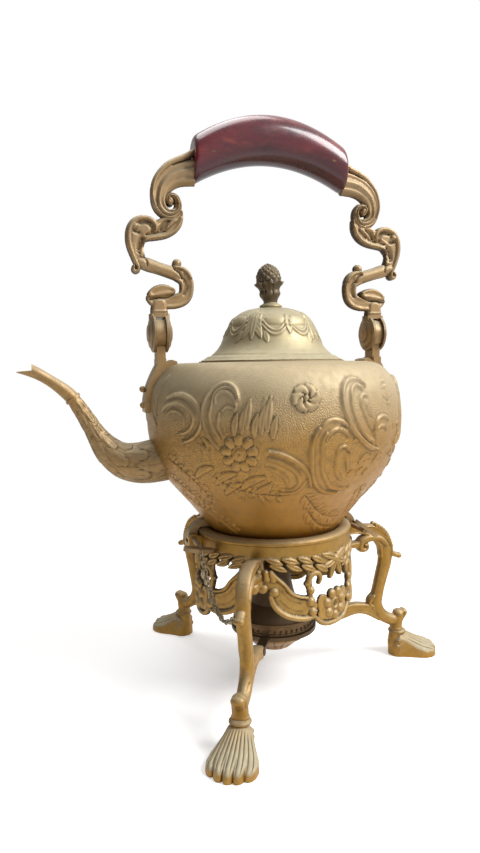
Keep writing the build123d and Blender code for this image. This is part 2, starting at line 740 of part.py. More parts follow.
def rosette():
    """The six-petalled flower at the foot of each panel, 60 degrees round from its leg."""
    z = BAND_Z - 34
    plane = Plane(origin=(0, 0, 0), x_dir=(0, 1, 0), z_dir=(1, 0, 0)).offset(BAND_R - 0.6)
    flower = plane * Pos(0, z, 0) * extrude(Circle(2.8), amount=4.4)
    for i in range(6):
        turn = 60 * i
        petal = extrude(Ellipse(3.9, 3.0), amount=3.0)
        place = Pos(6.2 * cos(radians(turn)), z + 6.2 * sin(radians(turn)), 0) * Rot(0, 0, turn)
        flower += plane * place * petal
    return Rot(0, 0, 60) * (flower - upright(BAND_R - GALLERY_T, z - 20, z + 20))


def gallery_panel():
    """One pierced third of the gallery, from the leg at 0 degrees to the one at 120."""
    low = BAND_Z - GALLERY_H
    panel = gallery_wall(BAND_R - GALLERY_T, BAND_R, 0, 120, low, BAND_Z)
    raised = gallery_wall(BAND_R - 0.5, BAND_R + RELIEF, 3, 114, low, BAND_Z)
    lower, upper, middle = gallery_openings()
    for outline in both_ways(upper):
        panel -= radial_prism(outline, outline[0][0])
    panel -= radial_prism(middle, 60)
    for outline in both_ways(lower):
        panel -= radial_prism(outline, 30 if outline is lower else 90, smooth=False)
    stamps = []
    for shape in relief_shapes():
        for outline in both_ways(shape):
            middle_angle = sum(a for a, _ in outline) / len(outline)
            stamps.append(radial_prism(outline, middle_angle))
    panel += raised & (stamps[0] + stamps[1:])
    for a, z, r in bead_places():
        for angle in (a, 120 - a):
            panel += Rot(0, 0, angle) * Pos(BAND_R, 0, z) * Sphere(r)
    panel += rosette()
    panel -= upright(BAND_R - GALLERY_T, low - 5, BAND_Z + 5)
    wedge = gallery_wall(20, BAND_R + 9, 0, 120, low - 9, BAND_Z)
    panel &= wedge
    for turn in (0, 120):
        panel -= leg_space(turn)
        for bar in rivet_bars(turn):
            panel -= bar
    return panel


def leg_space(turn):
    """Room for the leg's ties in front of the gallery wall."""
    low = BAND_Z - 17
    tall = BAND_Z + 6 - low
    box = Pos(BAND_R + 8, 0, low + tall / 2) * Box(20, LEG_T + 0.4, tall)
    return Rot(0, 0, turn) * (box - upright(BAND_R, low - 1, BAND_Z + 9))


def rivet_bars(turn):
    """The four rivets that fix a leg to the two panels beside it."""
    bars = []
    for y in (-LEG_T / 3.4, LEG_T / 3.4):
        for z in (BAND_Z - 2.8, BAND_Z - 12.0):
            bar = along_x(z, RIVET_R - 0.3, BAND_R - GALLERY_T - 1.0, BAND_R + 4.4, y)
            bars.append(Rot(0, 0, turn) * bar)
    return bars


def gallery_rivets():
    """All the rivets between legs and gallery, with flat heads inside."""
    rivets = []
    for turn in LEG_ANGLES:
        for y in (-LEG_T / 3.4, LEG_T / 3.4):
            for z in (BAND_Z - 2.8, BAND_Z - 12.0):
                head = along_x(z, 1.5 * RIVET_R, BAND_R - GALLERY_T - 1.4, BAND_R - GALLERY_T - 0.3, y)
                shank = along_x(z, RIVET_R - 0.3, BAND_R - GALLERY_T - 0.4, BAND_R + 4.4, y)
                rivets.append(Rot(0, 0, turn) * (head + shank))
    return Compound(children=[rivet.solid() for rivet in rivets])


# The legs

def leg_faces():
    """Strokes of the leg at 0 degrees, as distances from the axis and heights."""
    hip = BAND_Z
    return [
        stroke([(66.2, hip - 4.2, 7.4), (73.4, hip - 4.6, 7.0), (80.0, hip - 9.0, 6.0), (84.0, hip - 17, 5.4),
                (83.7, hip - 25, 4.7), (81.0, hip - 36, 4.3), (78.3, 49, 4.0), (77.0, 40.5, 4.4),
                (79.6, 33.0, 4.4), (86.0, 27.2, 4.0), (93.2, 25.2, 4.8)]),
        stroke([(65.4, hip - 9.6, 6.2), (66.4, hip - 7.4, 8.0)]),
        stroke([(89.4, hip - 21.0, 2.3), (93.4, hip - 22.6, 1.9)]),
        stroke([(47.4, 35.2, 4.6), (53.4, 36.8, 4.5), (60.4, 37.8, 4.1), (67.4, 36.9, 3.9), (74.4, 34.2, 4.4),
                (80.4, 30.4, 4.4)]),
        stroke([(95.4, 28.6, 5.0), (93.8, 20.0, 5.2), (93.4, 10.0, 5.6)]),
        stroke([(95.6, 29.2, 3.4), (99.2, 29.6, 2.9)]),
    ]


def ankle_foot():
    """The shell foot: a ribbed fan that thins towards its lobed toe."""
    side = face_of(
        line([(HEEL_R, 0), (HEEL_R, 12)]),
        curve([(HEEL_R, 12), (HEEL_R + 6, 18), (HEEL_R + 12.6, 15.6), (HEEL_R + 22.8, 10.6), (HEEL_R + 32, 5.2),
               (HEEL_R + FOOT_L, 2.2)]),
        line([(HEEL_R + FOOT_L, 2.2), (HEEL_R + FOOT_L, 0), (HEEL_R, 0)]),
    )
    lobe_count = 7
    lobe_r = FOOT_L * sin(radians(FOOT_SPREAD)) / lobe_count * 1.12
    reach = FOOT_L - lobe_r
    plan = Pos(6, 0) * Circle(6.6)
    for i in range(lobe_count):
        angle = FOOT_SPREAD * (2 * i / (lobe_count - 1) - 1) * 0.9
        tip = (reach * cos(radians(angle)), reach * sin(radians(angle)))
        across = (-sin(radians(angle)) * lobe_r, cos(radians(angle)) * lobe_r)
        root = (across[0] * 0.35, across[1] * 0.35)
        plan += make_face(Polyline(
            (root[0], root[1]), (tip[0] + across[0], tip[1] + across[1]),
            (tip[0] - across[0], tip[1] - across[1]), (-root[0], -root[1]), close=True,
        ))
        plan += Pos(*tip) * Circle(lobe_r)
    prism = Pos(HEEL_R, 0, 0) * extrude(plan, amount=24)
    return prism & slab(side, 4 * FOOT_L)


def first_leg():
    """One cast leg with its shell foot, strut and the two ties to the gallery."""
    faces = leg_faces()
    leg = slab(faces[0], LEG_T)
    for face in faces[1:]:
        leg += slab(face, LEAF_T if face is faces[2] else LEG_T)
    upper_tie = Pos(BAND_R + 6, 0, BAND_Z - 2.2) * Box(14, LEG_T, 4.4)
    lower_tie = Pos(BAND_R + 4.6, 0, BAND_Z - 12.0) * Box(12, LEG_T, 4.6)
    leg = leg + upper_tie + lower_tie
    leg += ankle_foot()
    leg -= upright(BAND_R, BAND_Z - 20, BAND_Z + 20)
    for bar in rivet_bars(0):
        leg -= bar
    leg -= cradle_rivet(0)
    return leg


def front_leg():
    """The leg that also carries the small eye for the chain."""
    eye = Pos(*chain_eye()) * Torus(EYE_RING_R, RING_WIRE_R)
    return Rot(0, 0, -120) * first_leg() + eye


# The burner's cradle

def cradle_ring_z():
    """Top of the cradle, just under the burner's band."""
    return BAND_BURNER_Z - SEAT_GAP


def burner_cradle():
    """The dark ring under the burner with an arm to each strut."""
    top = cradle_ring_z()
    ring_r = BOWL_R + SEAT_GAP
    cradle = upright(ring_r + 2.8, top - CRADLE_T, top)
    for turn in LEG_ANGLES:
        arm = Pos(36, 0, top - CRADLE_T / 2) * Box(20, CRADLE_ARM_W, CRADLE_T)
        foot = Pos(41.2, 0, top - CRADLE_T) * Box(3.2, CRADLE_ARM_W, 2 * CRADLE_T)
        cradle += Rot(0, 0, turn) * (arm + foot)
    cradle -= upright(ring_r, top - 9, top + 9)
    for turn in LEG_ANGLES:
        for face in (leg_faces()[3],):
            cradle -= Rot(0, 0, turn) * slab(face, LEG_T)
        cradle -= Rot(0, 0, turn) * cradle_rivet(0)
    return cradle


def cradle_rivet(turn):
    """A rivet along the strut's end into the cradle's arm."""
    return Rot(0, 0, turn) * along_x(cradle_ring_z() - CRADLE_T, 1.0, 38.6, 50.0)


def cradle_rivets():
    """Three rivets that join the cradle to the struts."""
    return Compound(children=[cradle_rivet(turn).solid() for turn in LEG_ANGLES])


# The lugs and pins between kettle and stand

def ear_face(foot):
    """The outline of an ear on the band; the front one reaches down to a bridge."""
    low = BAND_Z + 0.3
    root = BAND_R - 1.0
    if not foot:
        return face_of(line([
            (root, low), (LOCK_X, low), (LOCK_X + LUG_R, LOCK_Z), (LOCK_X, BAND_TOP - 0.2), (root, BAND_TOP - 0.2),
            (root, low),
        ]))
    heel = BAND_R + RELIEF + 0.4
    return face_of(line([
        (root, low), (heel, low), (heel, low - EAR_DROP), (LOCK_X + LUG_R, low - EAR_DROP), (LOCK_X + LUG_R, LOCK_Z),
        (LOCK_X, BAND_TOP - 0.2), (root, BAND_TOP - 0.2), (root, low),
    ]))


def pin_ears(foot=False):
    """A pair of ears on the band with a hole for the pin."""
    ears = slab(ear_face(foot), 2 * half_ears()) + along_y(LOCK_X, LOCK_Z, LUG_R, -half_ears(), half_ears())
    gap_floor = LOCK_Z - LUG_R - SEAT_GAP
    if not foot:
        gap_floor = BAND_Z - 9
    gap = Pos(LOCK_X, 0, gap_floor + 10) * Box(20, LUG_W + 2 * SEAT_GAP, 20)
    ears = ears - gap - upright(BAND_R, BAND_Z - 9, LOCK_Z + 9) - upright(ROLL_R + SEAT_GAP, BAND_TOP - 0.2, LOCK_Z + 9)
    return ears - along_y(LOCK_X, LOCK_Z, LOCK_PIN_R + RUN_FIT, -2 * LUG_W, 2 * LUG_W)


def front_pin_lug():
    """Two closed ears with a bridge under the kettle's lug."""
    return mirrored(pin_ears(foot=True))


def rear_pin_lug():
    """Two open hooks, one on each side of the leg; the kettle's rear pin lies in them."""
    notch = Pos(LOCK_X, 0, LOCK_Z + 5) * Box(2 * LOCK_PIN_R + 4 * RUN_FIT, 4 * LUG_W, 10)
    return pin_ears() - notch


def half_ears():
    """Half the width over both ears."""
    return LUG_W / 2 + SEAT_GAP + EAR_T


def rear_kettle_lug():
    """The kettle's lug: a barrel on the pin and an arm over the rolled rim."""
    rim_top = BAND_TOP + ROLL_H
    rim_out = ROLL_R + 0.6
    arm = face_of(
        line([(LOCK_X + 2.9, LOCK_Z), (rim_out, LOCK_Z), (rim_out, rim_top - 1.2), (ROLL_R - 1.4, rim_top + 0.7),
              (BASE_R - 2, rim_top + 0.7), (BASE_R - 2, rim_top + 5.0), (BASE_R + 4.4, rim_top + 5.0)]),
        curve([(BASE_R + 4.4, rim_top + 5.0), (LOCK_X - 1.4, rim_top + 2.2), (LOCK_X + 2.4, LOCK_Z + 3.6),
               (LOCK_X + 2.9, LOCK_Z)]),
    )
    lug = slab(arm, LUG_W) + along_y(LOCK_X, LOCK_Z, LUG_R, -LUG_W / 2, LUG_W / 2)
    lug -= upright(ROLL_R + 0.6, BAND_Z, rim_top - 1.2)
    lug -= along_y(LOCK_X, LOCK_Z, LOCK_PIN_R + RUN_FIT, -LUG_W, LUG_W)
    return lug - body_envelope(SOLDER)


def lock_pin(x, turn):
    """A round pin with a flat oval head, turned by an angle about the pin."""
    shank = along_y(x, LOCK_Z, LOCK_PIN_R, -PIN_HEAD_Y, half_ears() + 2.0)
    head = extrude(Ellipse(PIN_HEAD_L / 2, PIN_HEAD_W / 2), amount=PIN_HEAD_T)
    eye = Pos(0, -EYE_OUT, 0) * Cylinder(EYE_R, 4 * PIN_HEAD_T)
    flat_head = Pos(0, -PIN_HEAD_Y, HEAD_OFFSET) * (head - eye)
    return shank + Pos(x, 0, LOCK_Z) * Rot(0, -turn, 0) * flat_head


def front_pin():
    """The pin on the spout side, on which the kettle tips."""
    return lock_pin(-LOCK_X, FRONT_HEAD_TURN)


def rear_pin():
    """The pin opposite the spout; it rides in the kettle's lug."""
    return lock_pin(LOCK_X, REAR_HEAD_TURN)


# The burner

def burner_bowl():
    """The gadrooned spirit bowl."""
    z, r, h, t = BURNER_Z, BOWL_R, BOWL_H, BURNER_SHEET
    outside = [(0.31 * r, z), (0.45 * r, z + 0.087 * h), (0.676 * r, z + 0.39 * h), (0.92 * r, z + 0.645 * h),
               (r, z + 0.86 * h)]
    inside = inset(outside, t)
    return turned(
        line([(0, z), outside[0]]), curve(outside),
        line([outside[-1], (r, z + h), (r - t, z + h), inside[-1]]),
        curve(inside[::-1]), line([inside[0], (0, inside[0][1]), (0, z)]),
    )


def burner_rim():
    """The band round the bowl's top, which rests on the cradle."""
    low, high = BAND_BURNER_Z, BAND_BURNER_Z + BURNER_BAND_H
    r = BURNER_BAND_R
    return lathe([
        (BOWL_R - 2 * BURNER_SHEET, low), (r, low), (r, low + 1.0), (r - 0.7, low + 1.6), (r - 0.7, high - 1.6),
        (r, high - 1.0), (r, high), (BOWL_R - 2 * BURNER_SHEET, high),
    ])


def shoulder_z():
    """Top of the burner's sloping shoulder."""
    return BAND_BURNER_Z + BURNER_BAND_H + COLLAR_H


def burner_top():
    """The sloping shoulder that closes the bowl round the wick tube."""
    low, high = BAND_BURNER_Z + BURNER_BAND_H, shoulder_z()
    t = BURNER_SHEET
    return lathe([
        (BOWL_R, low), (BURNER_BAND_R - 4.6, low + 3), (COLLAR_R, high), (WICK_TUBE_R, high), (WICK_TUBE_R, high - t),
        (COLLAR_R - 1, high - t), (BURNER_BAND_R - 6, low + 2), (BOWL_R - 2 * t, low),
    ])


def wick_tube():
    """The tube that holds the wick."""
    low, high = shoulder_z() - 6, shoulder_z() - 6 + WICK_TUBE_H
    return lathe([(WICK_TUBE_R - 1, low), (WICK_TUBE_R, low), (WICK_TUBE_R, high), (WICK_TUBE_R - 1, high)])


def wick():
    """The packed cotton wick, which reaches down into the bowl."""
    top = shoulder_z() - 6 + WICK_TUBE_H + 1.6
    return upright(WICK_TUBE_R - 1, BURNER_Z + 6, top)


def snuffer_cap():
    """The tall cap that puts the flame out, standing on the burner's shoulder."""
    z, h = shoulder_z(), SNUFFER_H
    outside = [(COLLAR_R - 0.4, z), (0.9 * COLLAR_R, z + 0.12 * h), (0.71 * COLLAR_R, z + 0.55 * h),
               (0.6 * COLLAR_R, z + 0.76 * h), (0.3 * COLLAR_R, z + 0.9 * h)]
    inside = inset(outside, 1.0)
    inside[0] = (outside[0][0] - 1.2, z)
    cap = turned(
        curve(outside),
        line([outside[-1], (1.4, z + 0.9 * h), (1.4, z + 0.93 * h), (0, z + 0.93 * h), (0, inside[-1][1]), inside[-1]]),
        curve(inside[::-1]),
        line([inside[0], outside[0]]),
    )
    return cap + Pos(0, 0, z + 0.965 * h) * Sphere(0.05 * h + 0.6)


# The chain

def pin_eye():
    """Middle of the eye in the front pin's head."""
    turn = radians(FRONT_HEAD_TURN)
    middle = HEAD_OFFSET + PIN_HEAD_T / 2
    return Vector(-LOCK_X - middle * sin(turn), -PIN_HEAD_Y - EYE_OUT, LOCK_Z + middle * cos(turn))


def chain_heading():
    """The level direction in which the chain leaves the pin."""
    drop = chain_eye() - pin_eye()
    return Vector(drop.X, drop.Y, 0).normalized()


def ring_centre():
    """Centre of the ring that hangs in the front pin's eye."""
    return pin_eye() + chain_heading() * RING_R


def chain_eye():
    """Centre of the small eye on the front leg's leaf tip that holds the chain."""
    turn = radians(-120)
    side = LEAF_T / 2 + EYE_RING_R
    return Vector(
        LEAF_R * cos(turn) + side * sin(turn),
        LEAF_R * sin(turn) - side * cos(turn),
        BAND_Z - LEAF_DROP,
    )


def chain_line(share):
    """A point of the hanging chain, from inside the ring (0) to inside the eye (1)."""
    top, foot = ring_centre(), chain_eye()
    drop = foot - top
    start = Vector(drop.X, drop.Y, drop.Z - 4 * CHAIN_SAG).normalized()
    end = Vector(drop.X, drop.Y, 0).normalized()
    top = top + start * hook_reach(RING_R)
    drop = foot - end * hook_reach(EYE_RING_R) - top
    return top + drop * share - Vector(0, 0, 4 * CHAIN_SAG * share * (1 - share))


def chain_run():
    """How far along the chain each of its fine steps lies."""
    fine = [chain_line(i / 300) for i in range(301)]
    run = [0.0]
    for a, b in zip(fine, fine[1:]):
        run.append(run[-1] + (b - a).length)
    return run


def chain_points(count):
    """Even steps down the hanging chain."""
    run = chain_run()
    points = []
    for i in range(count + 1):
        goal = run[-1] * i / count
        k = max(j for j in range(len(run) - 1) if run[j] <= goal + 1e-9)
        share = (k + (goal - run[k]) / (run[k + 1] - run[k])) / (len(run) - 1)
        points.append(chain_line(share))
    return points


def link_pitch():
    """The most that one link can move the next along."""
    return LINK_L - 2 * LINK_T - CHAIN_GAP


def hook_reach(ring_r):
    """From a ring's centre to where the chain's even steps begin."""
    bar = ring_r - RING_WIRE_R - CHAIN_GAP - LINK_T / 2
    return bar + (LINK_L - LINK_T) / 2 - link_pitch() / 2


def pin_chain():
    """Small flat-sided links, each turned a quarter from the last."""
    outer = SlotOverall(LINK_L, LINK_W)
    inner = SlotOverall(LINK_L - 2 * LINK_T, LINK_W - 2 * LINK_T)
    link = Pos(0, 0, -LINK_T / 2) * extrude(outer - inner, amount=LINK_T)
    count = 2 * (int(chain_run()[-1] / link_pitch() / 2) + 1)
    points = chain_points(count)
    links = []
    for i in range(count):
        start, end = points[i], points[i + 1]
        plane = Plane(origin=(start + end) / 2, x_dir=end - start, z_dir=side_of(end - start, i))
        links.append((plane * link).solid())
    return Compound(children=links)


def side_of(direction, index):
    """A direction square to the chain, turned a quarter on every second link."""
    level = direction.cross(Vector(0, 0, 1))
    return level if index % 2 else level.cross(direction)


def chain_ring():
    """The ring through the eye of the front pin's head, in line with the chain."""
    plane = Plane(origin=ring_centre(), z_dir=chain_heading().cross(Vector(0, 0, 1)))
    return plane * Torus(RING_R, RING_WIRE_R)


def tie_wire():
    """A loop of wire twisted round the front leg's upper tie."""
    half_w, half_h = LEG_T / 2 + 0.8, 3.2
    loop = Plane.YZ * RectangleRounded(2 * half_w, 2 * half_h, 0.9)
    hole = Plane.YZ * RectangleRounded(2 * half_w - 1.2, 2 * half_h - 1.2, 0.5)
    band = extrude(loop - hole, amount=0.6)
    tail = Pos(0.3, half_w + 1.2, half_h - 0.3) * Box(0.6, 3.2, 0.6)
    return Rot(0, 0, -120) * Pos(BAND_R + 5.2, 0, BAND_Z - 2.2) * (band + tail)


def build_kettle():
    parts["kettle_shell"] = kettle_shell()
    parts["kettle_bottom"] = kettle_bottom()
    parts["mouth_ring"] = mouth_ring()
    parts["spout"] = spout()
    parts["spout_collar"] = spout_collar()
    parts["spout_tip"] = spout_tip()
    bracket = rear_bracket()
    parts["rear_bracket"] = bracket
    parts["front_bracket"] = mirrored(bracket)
    parts["bracket_rivets"] = bracket_rivets()
    lug = rear_kettle_lug()
    parts["rear_kettle_lug"] = lug
    parts["front_kettle_lug"] = mirrored(lug)
    parts["rear_pin"] = rear_pin()


def build_handle():
    arm = rear_arm()
    parts["rear_arm"] = arm
    parts["front_arm"] = mirrored(arm)
    parts["grip"] = grip()
    parts["grip_pins"] = grip_pins()
    parts["rear_hinge_pin"] = hinge_pin()
    parts["front_hinge_pin"] = mirrored(hinge_pin())


def build_lid():
    parts["lid_dome"] = lid_dome()
    parts["lid_skirt"] = lid_skirt()
    parts["finial_plate"] = finial_plate()
    parts["finial_cup"] = finial_cup()
    parts["finial_cone"] = finial_cone()
    parts["finial_stud"] = finial_stud()
    parts["finial_nut"] = finial_nut()


def build_stand():
    parts["stand_ring"] = stand_ring()
    parts["ring_band"] = ring_band()
    panel = gallery_panel()
    leg = first_leg()
    for name, turn in zip(("right", "rear", "front"), LEG_ANGLES):
        parts["gallery_panel_" + name] = Rot(0, 0, turn) * panel
        parts["leg_" + name] = Rot(0, 0, turn) * leg
    parts["leg_front"] = front_leg()
    parts["gallery_rivets"] = gallery_rivets()
    parts["rear_pin_lug"] = rear_pin_lug()
    parts["front_pin_lug"] = front_pin_lug()
    parts["burner_cradle"] = burner_cradle()
    parts["cradle_rivets"] = cradle_rivets()
    parts["front_pin"] = front_pin()
    parts["chain_ring"] = chain_ring()
    parts["pin_chain"] = pin_chain()
    parts["tie_wire"] = tie_wire()


def build_burner():
    parts["burner_bowl"] = burner_bowl()
    parts["burner_rim"] = burner_rim()
    parts["burner_top"] = burner_top()
    parts["wick_tube"] = wick_tube()
    parts["wick"] = wick()
    parts["snuffer_cap"] = snuffer_cap()


build_kettle()
build_handle()
build_lid()
build_stand()
build_burner()
os.makedirs("parts", exist_ok=True)
for name, solid in parts.items():
    export_step(solid, os.path.join("parts", name + ".step"))
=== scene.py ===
"""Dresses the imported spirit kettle: chased surfaces, cast scrolls, metals and horn, floor, light and camera.

Shapes are worked out in millimetres on grids of two parameters and put into meshes in metres.
The kettle's axis is the Z axis, the spout points to -X and the camera stands on the -Y side.
Azimuths are in degrees round the axis, 0 at +X and -90 towards the camera.
"""

import math

import bmesh
import bpy
import numpy as np
from bpy.props import FloatProperty, FloatVectorProperty, IntProperty, PointerProperty
from bpy.types import Operator, Panel, PropertyGroup
from mathutils import Matrix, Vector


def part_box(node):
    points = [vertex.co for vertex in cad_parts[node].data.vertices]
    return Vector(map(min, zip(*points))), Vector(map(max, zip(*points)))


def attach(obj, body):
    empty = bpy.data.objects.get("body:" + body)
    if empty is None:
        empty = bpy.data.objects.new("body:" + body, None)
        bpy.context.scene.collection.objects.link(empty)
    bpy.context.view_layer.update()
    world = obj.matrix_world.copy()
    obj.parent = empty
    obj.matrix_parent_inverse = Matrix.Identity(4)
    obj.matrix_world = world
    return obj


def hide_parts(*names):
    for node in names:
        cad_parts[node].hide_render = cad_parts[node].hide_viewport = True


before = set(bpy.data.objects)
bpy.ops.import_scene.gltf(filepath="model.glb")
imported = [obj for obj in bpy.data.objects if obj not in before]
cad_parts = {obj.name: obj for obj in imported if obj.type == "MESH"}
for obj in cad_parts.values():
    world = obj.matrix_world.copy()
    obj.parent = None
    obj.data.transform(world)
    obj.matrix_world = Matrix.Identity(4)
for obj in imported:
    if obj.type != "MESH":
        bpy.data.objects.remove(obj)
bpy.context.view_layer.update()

bl_info = {
    "name": "Spirit kettle dressing",
    "version": (1, 0, 0),
    "blender": (4, 5, 0),
    "location": "3D View > Sidebar > Kettle",
    "description": "Builds the chased and cast surfaces, materials, light and camera of a spirit kettle",
    "category": "Object",
}

MM = 0.001

# Sizes in millimetres, unless the note says otherwise
SHEET = 1.2                 # wall of the raised brass sheet
BODY_RELIEF = 0.85          # height of the body's and lid's ornament as a share of the drawn height
SPOUT_RELIEF = 0.6          # the same on the spout
SPOUT_MIDDLE = 151.0        # height at which the spout's root meets the body
BRACKET_LOW = 178.0         # height above which the brackets cover the body
LID_BEAD = 214.6            # height of the raised line above the lid's edge
LID_GROOVE = 216.2          # height of the sunk line above it
KNOB_LEAN = 5.0             # degrees that the knob tips towards the spout
FRONT_LEG = -120            # azimuth of the front leg in degrees
CHAIN_PITCH = 2.9           # distance from link to link
CHAIN_SAG = 15.0            # drop of the chain's middle below a straight line
CHAIN_EYE = (91.7, 3.6, 73.2)   # the chain's lower end: out and aside on the front leg, and up
BURNER_BEADS = 44           # number of beads round the burner's rim
BEAD_CIRCLE = 26.9          # radius on which they stand
SMOOTH_UNDER = 50.0         # degrees between two faces under which their edge is smooth

# The camera, as read off the photograph
CAMERA_TURN = -18.61        # degrees round the axis from the front
CAMERA_DOWN = 5.46          # degrees that it looks down
CAMERA_ASIDE = 2.85         # degrees that it looks to the side
CAMERA_LEAN = -0.78         # degrees that it leans
CAMERA_DISTANCE = 423.1     # from the axis
CAMERA_HEIGHT = 209.6       # above the floor
LENS = 27.05
FILM_HEIGHT = 36.0

# The lamps: name, place and side in metres, and watts; all face the lit point
LIT_POINT = (0, 0, 0.18)
LAMPS = (
    ("key", (0.72, -0.55, 1.02), 0.6, 19.5),
    ("fill", (-0.7, -0.9, 0.4), 0.8, 0.3),
    ("top", (-0.1, 0.25, 1.2), 0.7, 7.0),
)
WORLD_LIGHT = 0.36          # the world's strength on the object; the background's is 1
FLOOR_FADE = (0.13, 0.42)   # metres from the axis between which the floor turns to plain white


def tone(red, green, blue):
    """A colour given as 0 to 255 on screen, as the linear numbers that shaders use."""
    screen = np.array([red, green, blue]) / 255.0
    low = screen / 12.92
    high = ((screen + 0.055) / 1.055) ** 2.4
    return tuple(float(v) for v in np.where(screen <= 0.04045, low, high))


def top_of(node):
    """Height of a node's top in millimetres."""
    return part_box(node)[1][2] / MM


def foot_of(node):
    """Height of a node's underside in millimetres."""
    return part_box(node)[0][2] / MM


def length(name, default_mm, description):
    """A length property in metres whose default is given in millimetres."""
    return FloatProperty(
        name=name, description=description, default=default_mm * MM, min=0.0001, max=0.5,
        subtype="DISTANCE", unit="LENGTH", precision=5,
    )


def colour(name, default, description):
    """A colour property."""
    return FloatVectorProperty(
        name=name, description=description, default=default, min=0.0, max=1.0, subtype="COLOR", size=3,
    )


class KettleSizes(PropertyGroup):
    """Sizes of the body, the lid and the spout."""

    belly_radius: length("Belly radius", 81.7, "Widest radius of the body")
    base_radius: length("Base radius", 43.6, "Radius where the conical foot meets the body")
    shoulder_radius: length("Shoulder radius", 62.0, "Radius where the belly turns in to the shoulder")
    body_height: length("Body height", 106.6, "From the foot's top to the shoulder")
    mouth_radius: length("Mouth radius", 45.4, "Outside of the mouth ring")
    lid_radius: length("Lid radius", 48.4, "Edge of the lid")
    spout_radius: length("Spout radius", 13.6, "Radius of the spout at its root")
    chasing: FloatProperty(
        name="Chasing", description="Height of the chased ornament as a share of the drawn height",
        default=1.0, min=0.0, max=1.5, subtype="FACTOR",
    )


class HandleSizes(PropertyGroup):
    """Sizes of the swing handle."""

    hinge_x: length("Hinge distance", 73.1, "Middle of each hinge from the axis")
    arm_thickness: length("Arm thickness", 8.6, "Thickness of the cast scrolls")
    grip_half: length("Grip half length", 50.0, "Half the grip's length")
    grip_width: length("Grip width", 26.0, "Width of the grip at its middle")
    grip_depth: length("Grip depth", 30.4, "Depth of the grip at its middle")
    grip_bow: length("Grip bow", 16.6, "Drop of the grip's ends below its middle")
    cheek_radius: length("Cheek radius", 11.6, "Radius of the fork's domed cheeks")


class StandSizes(PropertyGroup):
    """Sizes of the stand."""

    band_radius: length("Band radius", 51.2, "Outside of the band and of the pierced gallery")
    leg_thickness: length("Leg thickness", 8.0, "Thickness of the legs")
    heel_radius: length("Heel radius", 88.0, "Distance of the foot's heel from the axis")
    foot_length: length("Foot length", 36.6, "Length of the shell foot")
    foot_spread: FloatProperty(
        name="Foot spread", description="Half angle of the shell foot's fan", default=math.radians(33),
        min=0.1, max=1.0, subtype="ANGLE", unit="ROTATION",
    )
    ribs: IntProperty(name="Shell ribs", description="Ribs on each shell foot", default=11, min=5, max=21)


class BurnerSizes(PropertyGroup):
    """Sizes of the burner and the knob."""

    bowl_radius: length("Bowl radius", 25.6, "Radius of the spirit bowl")
    bowl_height: length("Bowl height", 17.2, "Height of the spirit bowl")
    lobes: IntProperty(
        name="Bowl lobes", description="Gadroons round the spirit bowl", default=20, min=8, max=48,
    )
    cone_radius: length("Cone radius", 7.8, "Radius of the pine cone knob")
    cone_height: length("Cone height", 19.0, "Height of the pine cone knob")


class Finishes(PropertyGroup):
    """Colours of the metals, the grip and the wick."""

    body: colour("Body brass", tone(162, 130, 78), "Brass of the kettle's body")
    # The recess colours below give the tarnish, and old polish with painted shade in hollows, along cast edges
    # and on insides
    body_polish_and_shade: colour("Body recess", tone(82, 62, 34), "Old polish in the body's hollows")
    dust: colour("Dust", tone(182, 176, 152), "Dust on what faces up")
    handle: colour("Handle brass", tone(154, 130, 98), "Cast brass of the handle")
    handle_polish_and_shade: colour("Handle recess", tone(58, 42, 26), "Old polish in the handle's hollows")
    stand: colour("Stand brass", tone(156, 120, 54), "Cast brass of the stand")
    stand_polish_and_shade: colour("Stand recess", tone(58, 42, 24), "Old polish in the stand's hollows")
    burner: colour("Burner brass", tone(136, 96, 22), "Brass of the spirit bowl")
    dark: colour("Smoked brass", tone(92, 72, 48), "Brass darkened by the flame")
    grip: colour("Grip", tone(116, 38, 44), "Red brown of the grip")
    grip_deep: colour("Grip shadow", tone(52, 16, 24), "Dark streaks in the grip")
    finial: colour("Knob", tone(98, 84, 64), "Dark bronze of the knob")
    wire: colour("Wire", tone(150, 138, 112), "Thin wire and chain")
    wick: colour("Wick", tone(206, 196, 172), "Cotton of the wick")


def sizes():
    """The property groups of the current scene."""
    return bpy.context.scene.kettle


# Curves and surfaces

def through(points, count):
    """Even steps on the natural cubic spline through the points, spaced by chord length.

    On each span the value is a*y0 + b*y1 + ((a^3 - a)*m0 + (b^3 - b)*m1)*h^2/6, where a and b are the
    shares of the two ends and m are the second derivatives that keep the slope continuous.
    """
    known = np.asarray(points, float)
    step = np.linalg.norm(np.diff(known, axis=0), axis=1)
    place = np.concatenate([[0.0], np.cumsum(step)])
    last = len(known) - 1
    system = np.eye(last + 1)
    wanted = np.zeros_like(known)
    inner = np.arange(1, last)
    system[inner, inner - 1] = step[:-1]
    system[inner, inner] = 2 * (step[:-1] + step[1:])
    system[inner, inner + 1] = step[1:]
    slope = np.diff(known, axis=0) / step[:, None]
    wanted[1:-1] = 6 * np.diff(slope, axis=0)
    bend = np.linalg.solve(system, wanted)
    at = np.linspace(0, place[-1], count)
    span = np.clip(np.searchsorted(place, at, side="right") - 1, 0, last - 1)
    wide = step[span][:, None]
    b = (at - place[span])[:, None] / wide
    a = 1 - b
    curved = (a ** 3 - a) * bend[span] + (b ** 3 - b) * bend[span + 1]
    return a * known[span] + b * known[span + 1] + curved * wide ** 2 / 6


def turned(section, azimuths):
    """A surface of revolution: (radius, height) rows turned to each azimuth, as a grid of points."""
    angle = np.radians(azimuths)[None, :]
    radius = section[:, 0][:, None]
    height = section[:, 1][:, None] + 0 * angle
    return np.stack([radius * np.cos(angle), radius * np.sin(angle), height], axis=-1)


def outward(section):
    """Unit normals of an outline of (radius, height) that runs upwards: its direction turned to the right."""
    along = np.gradient(section, axis=0)
    along /= np.linalg.norm(along, axis=1)[:, None]
    return np.stack([along[:, 1], -along[:, 0]], axis=1)


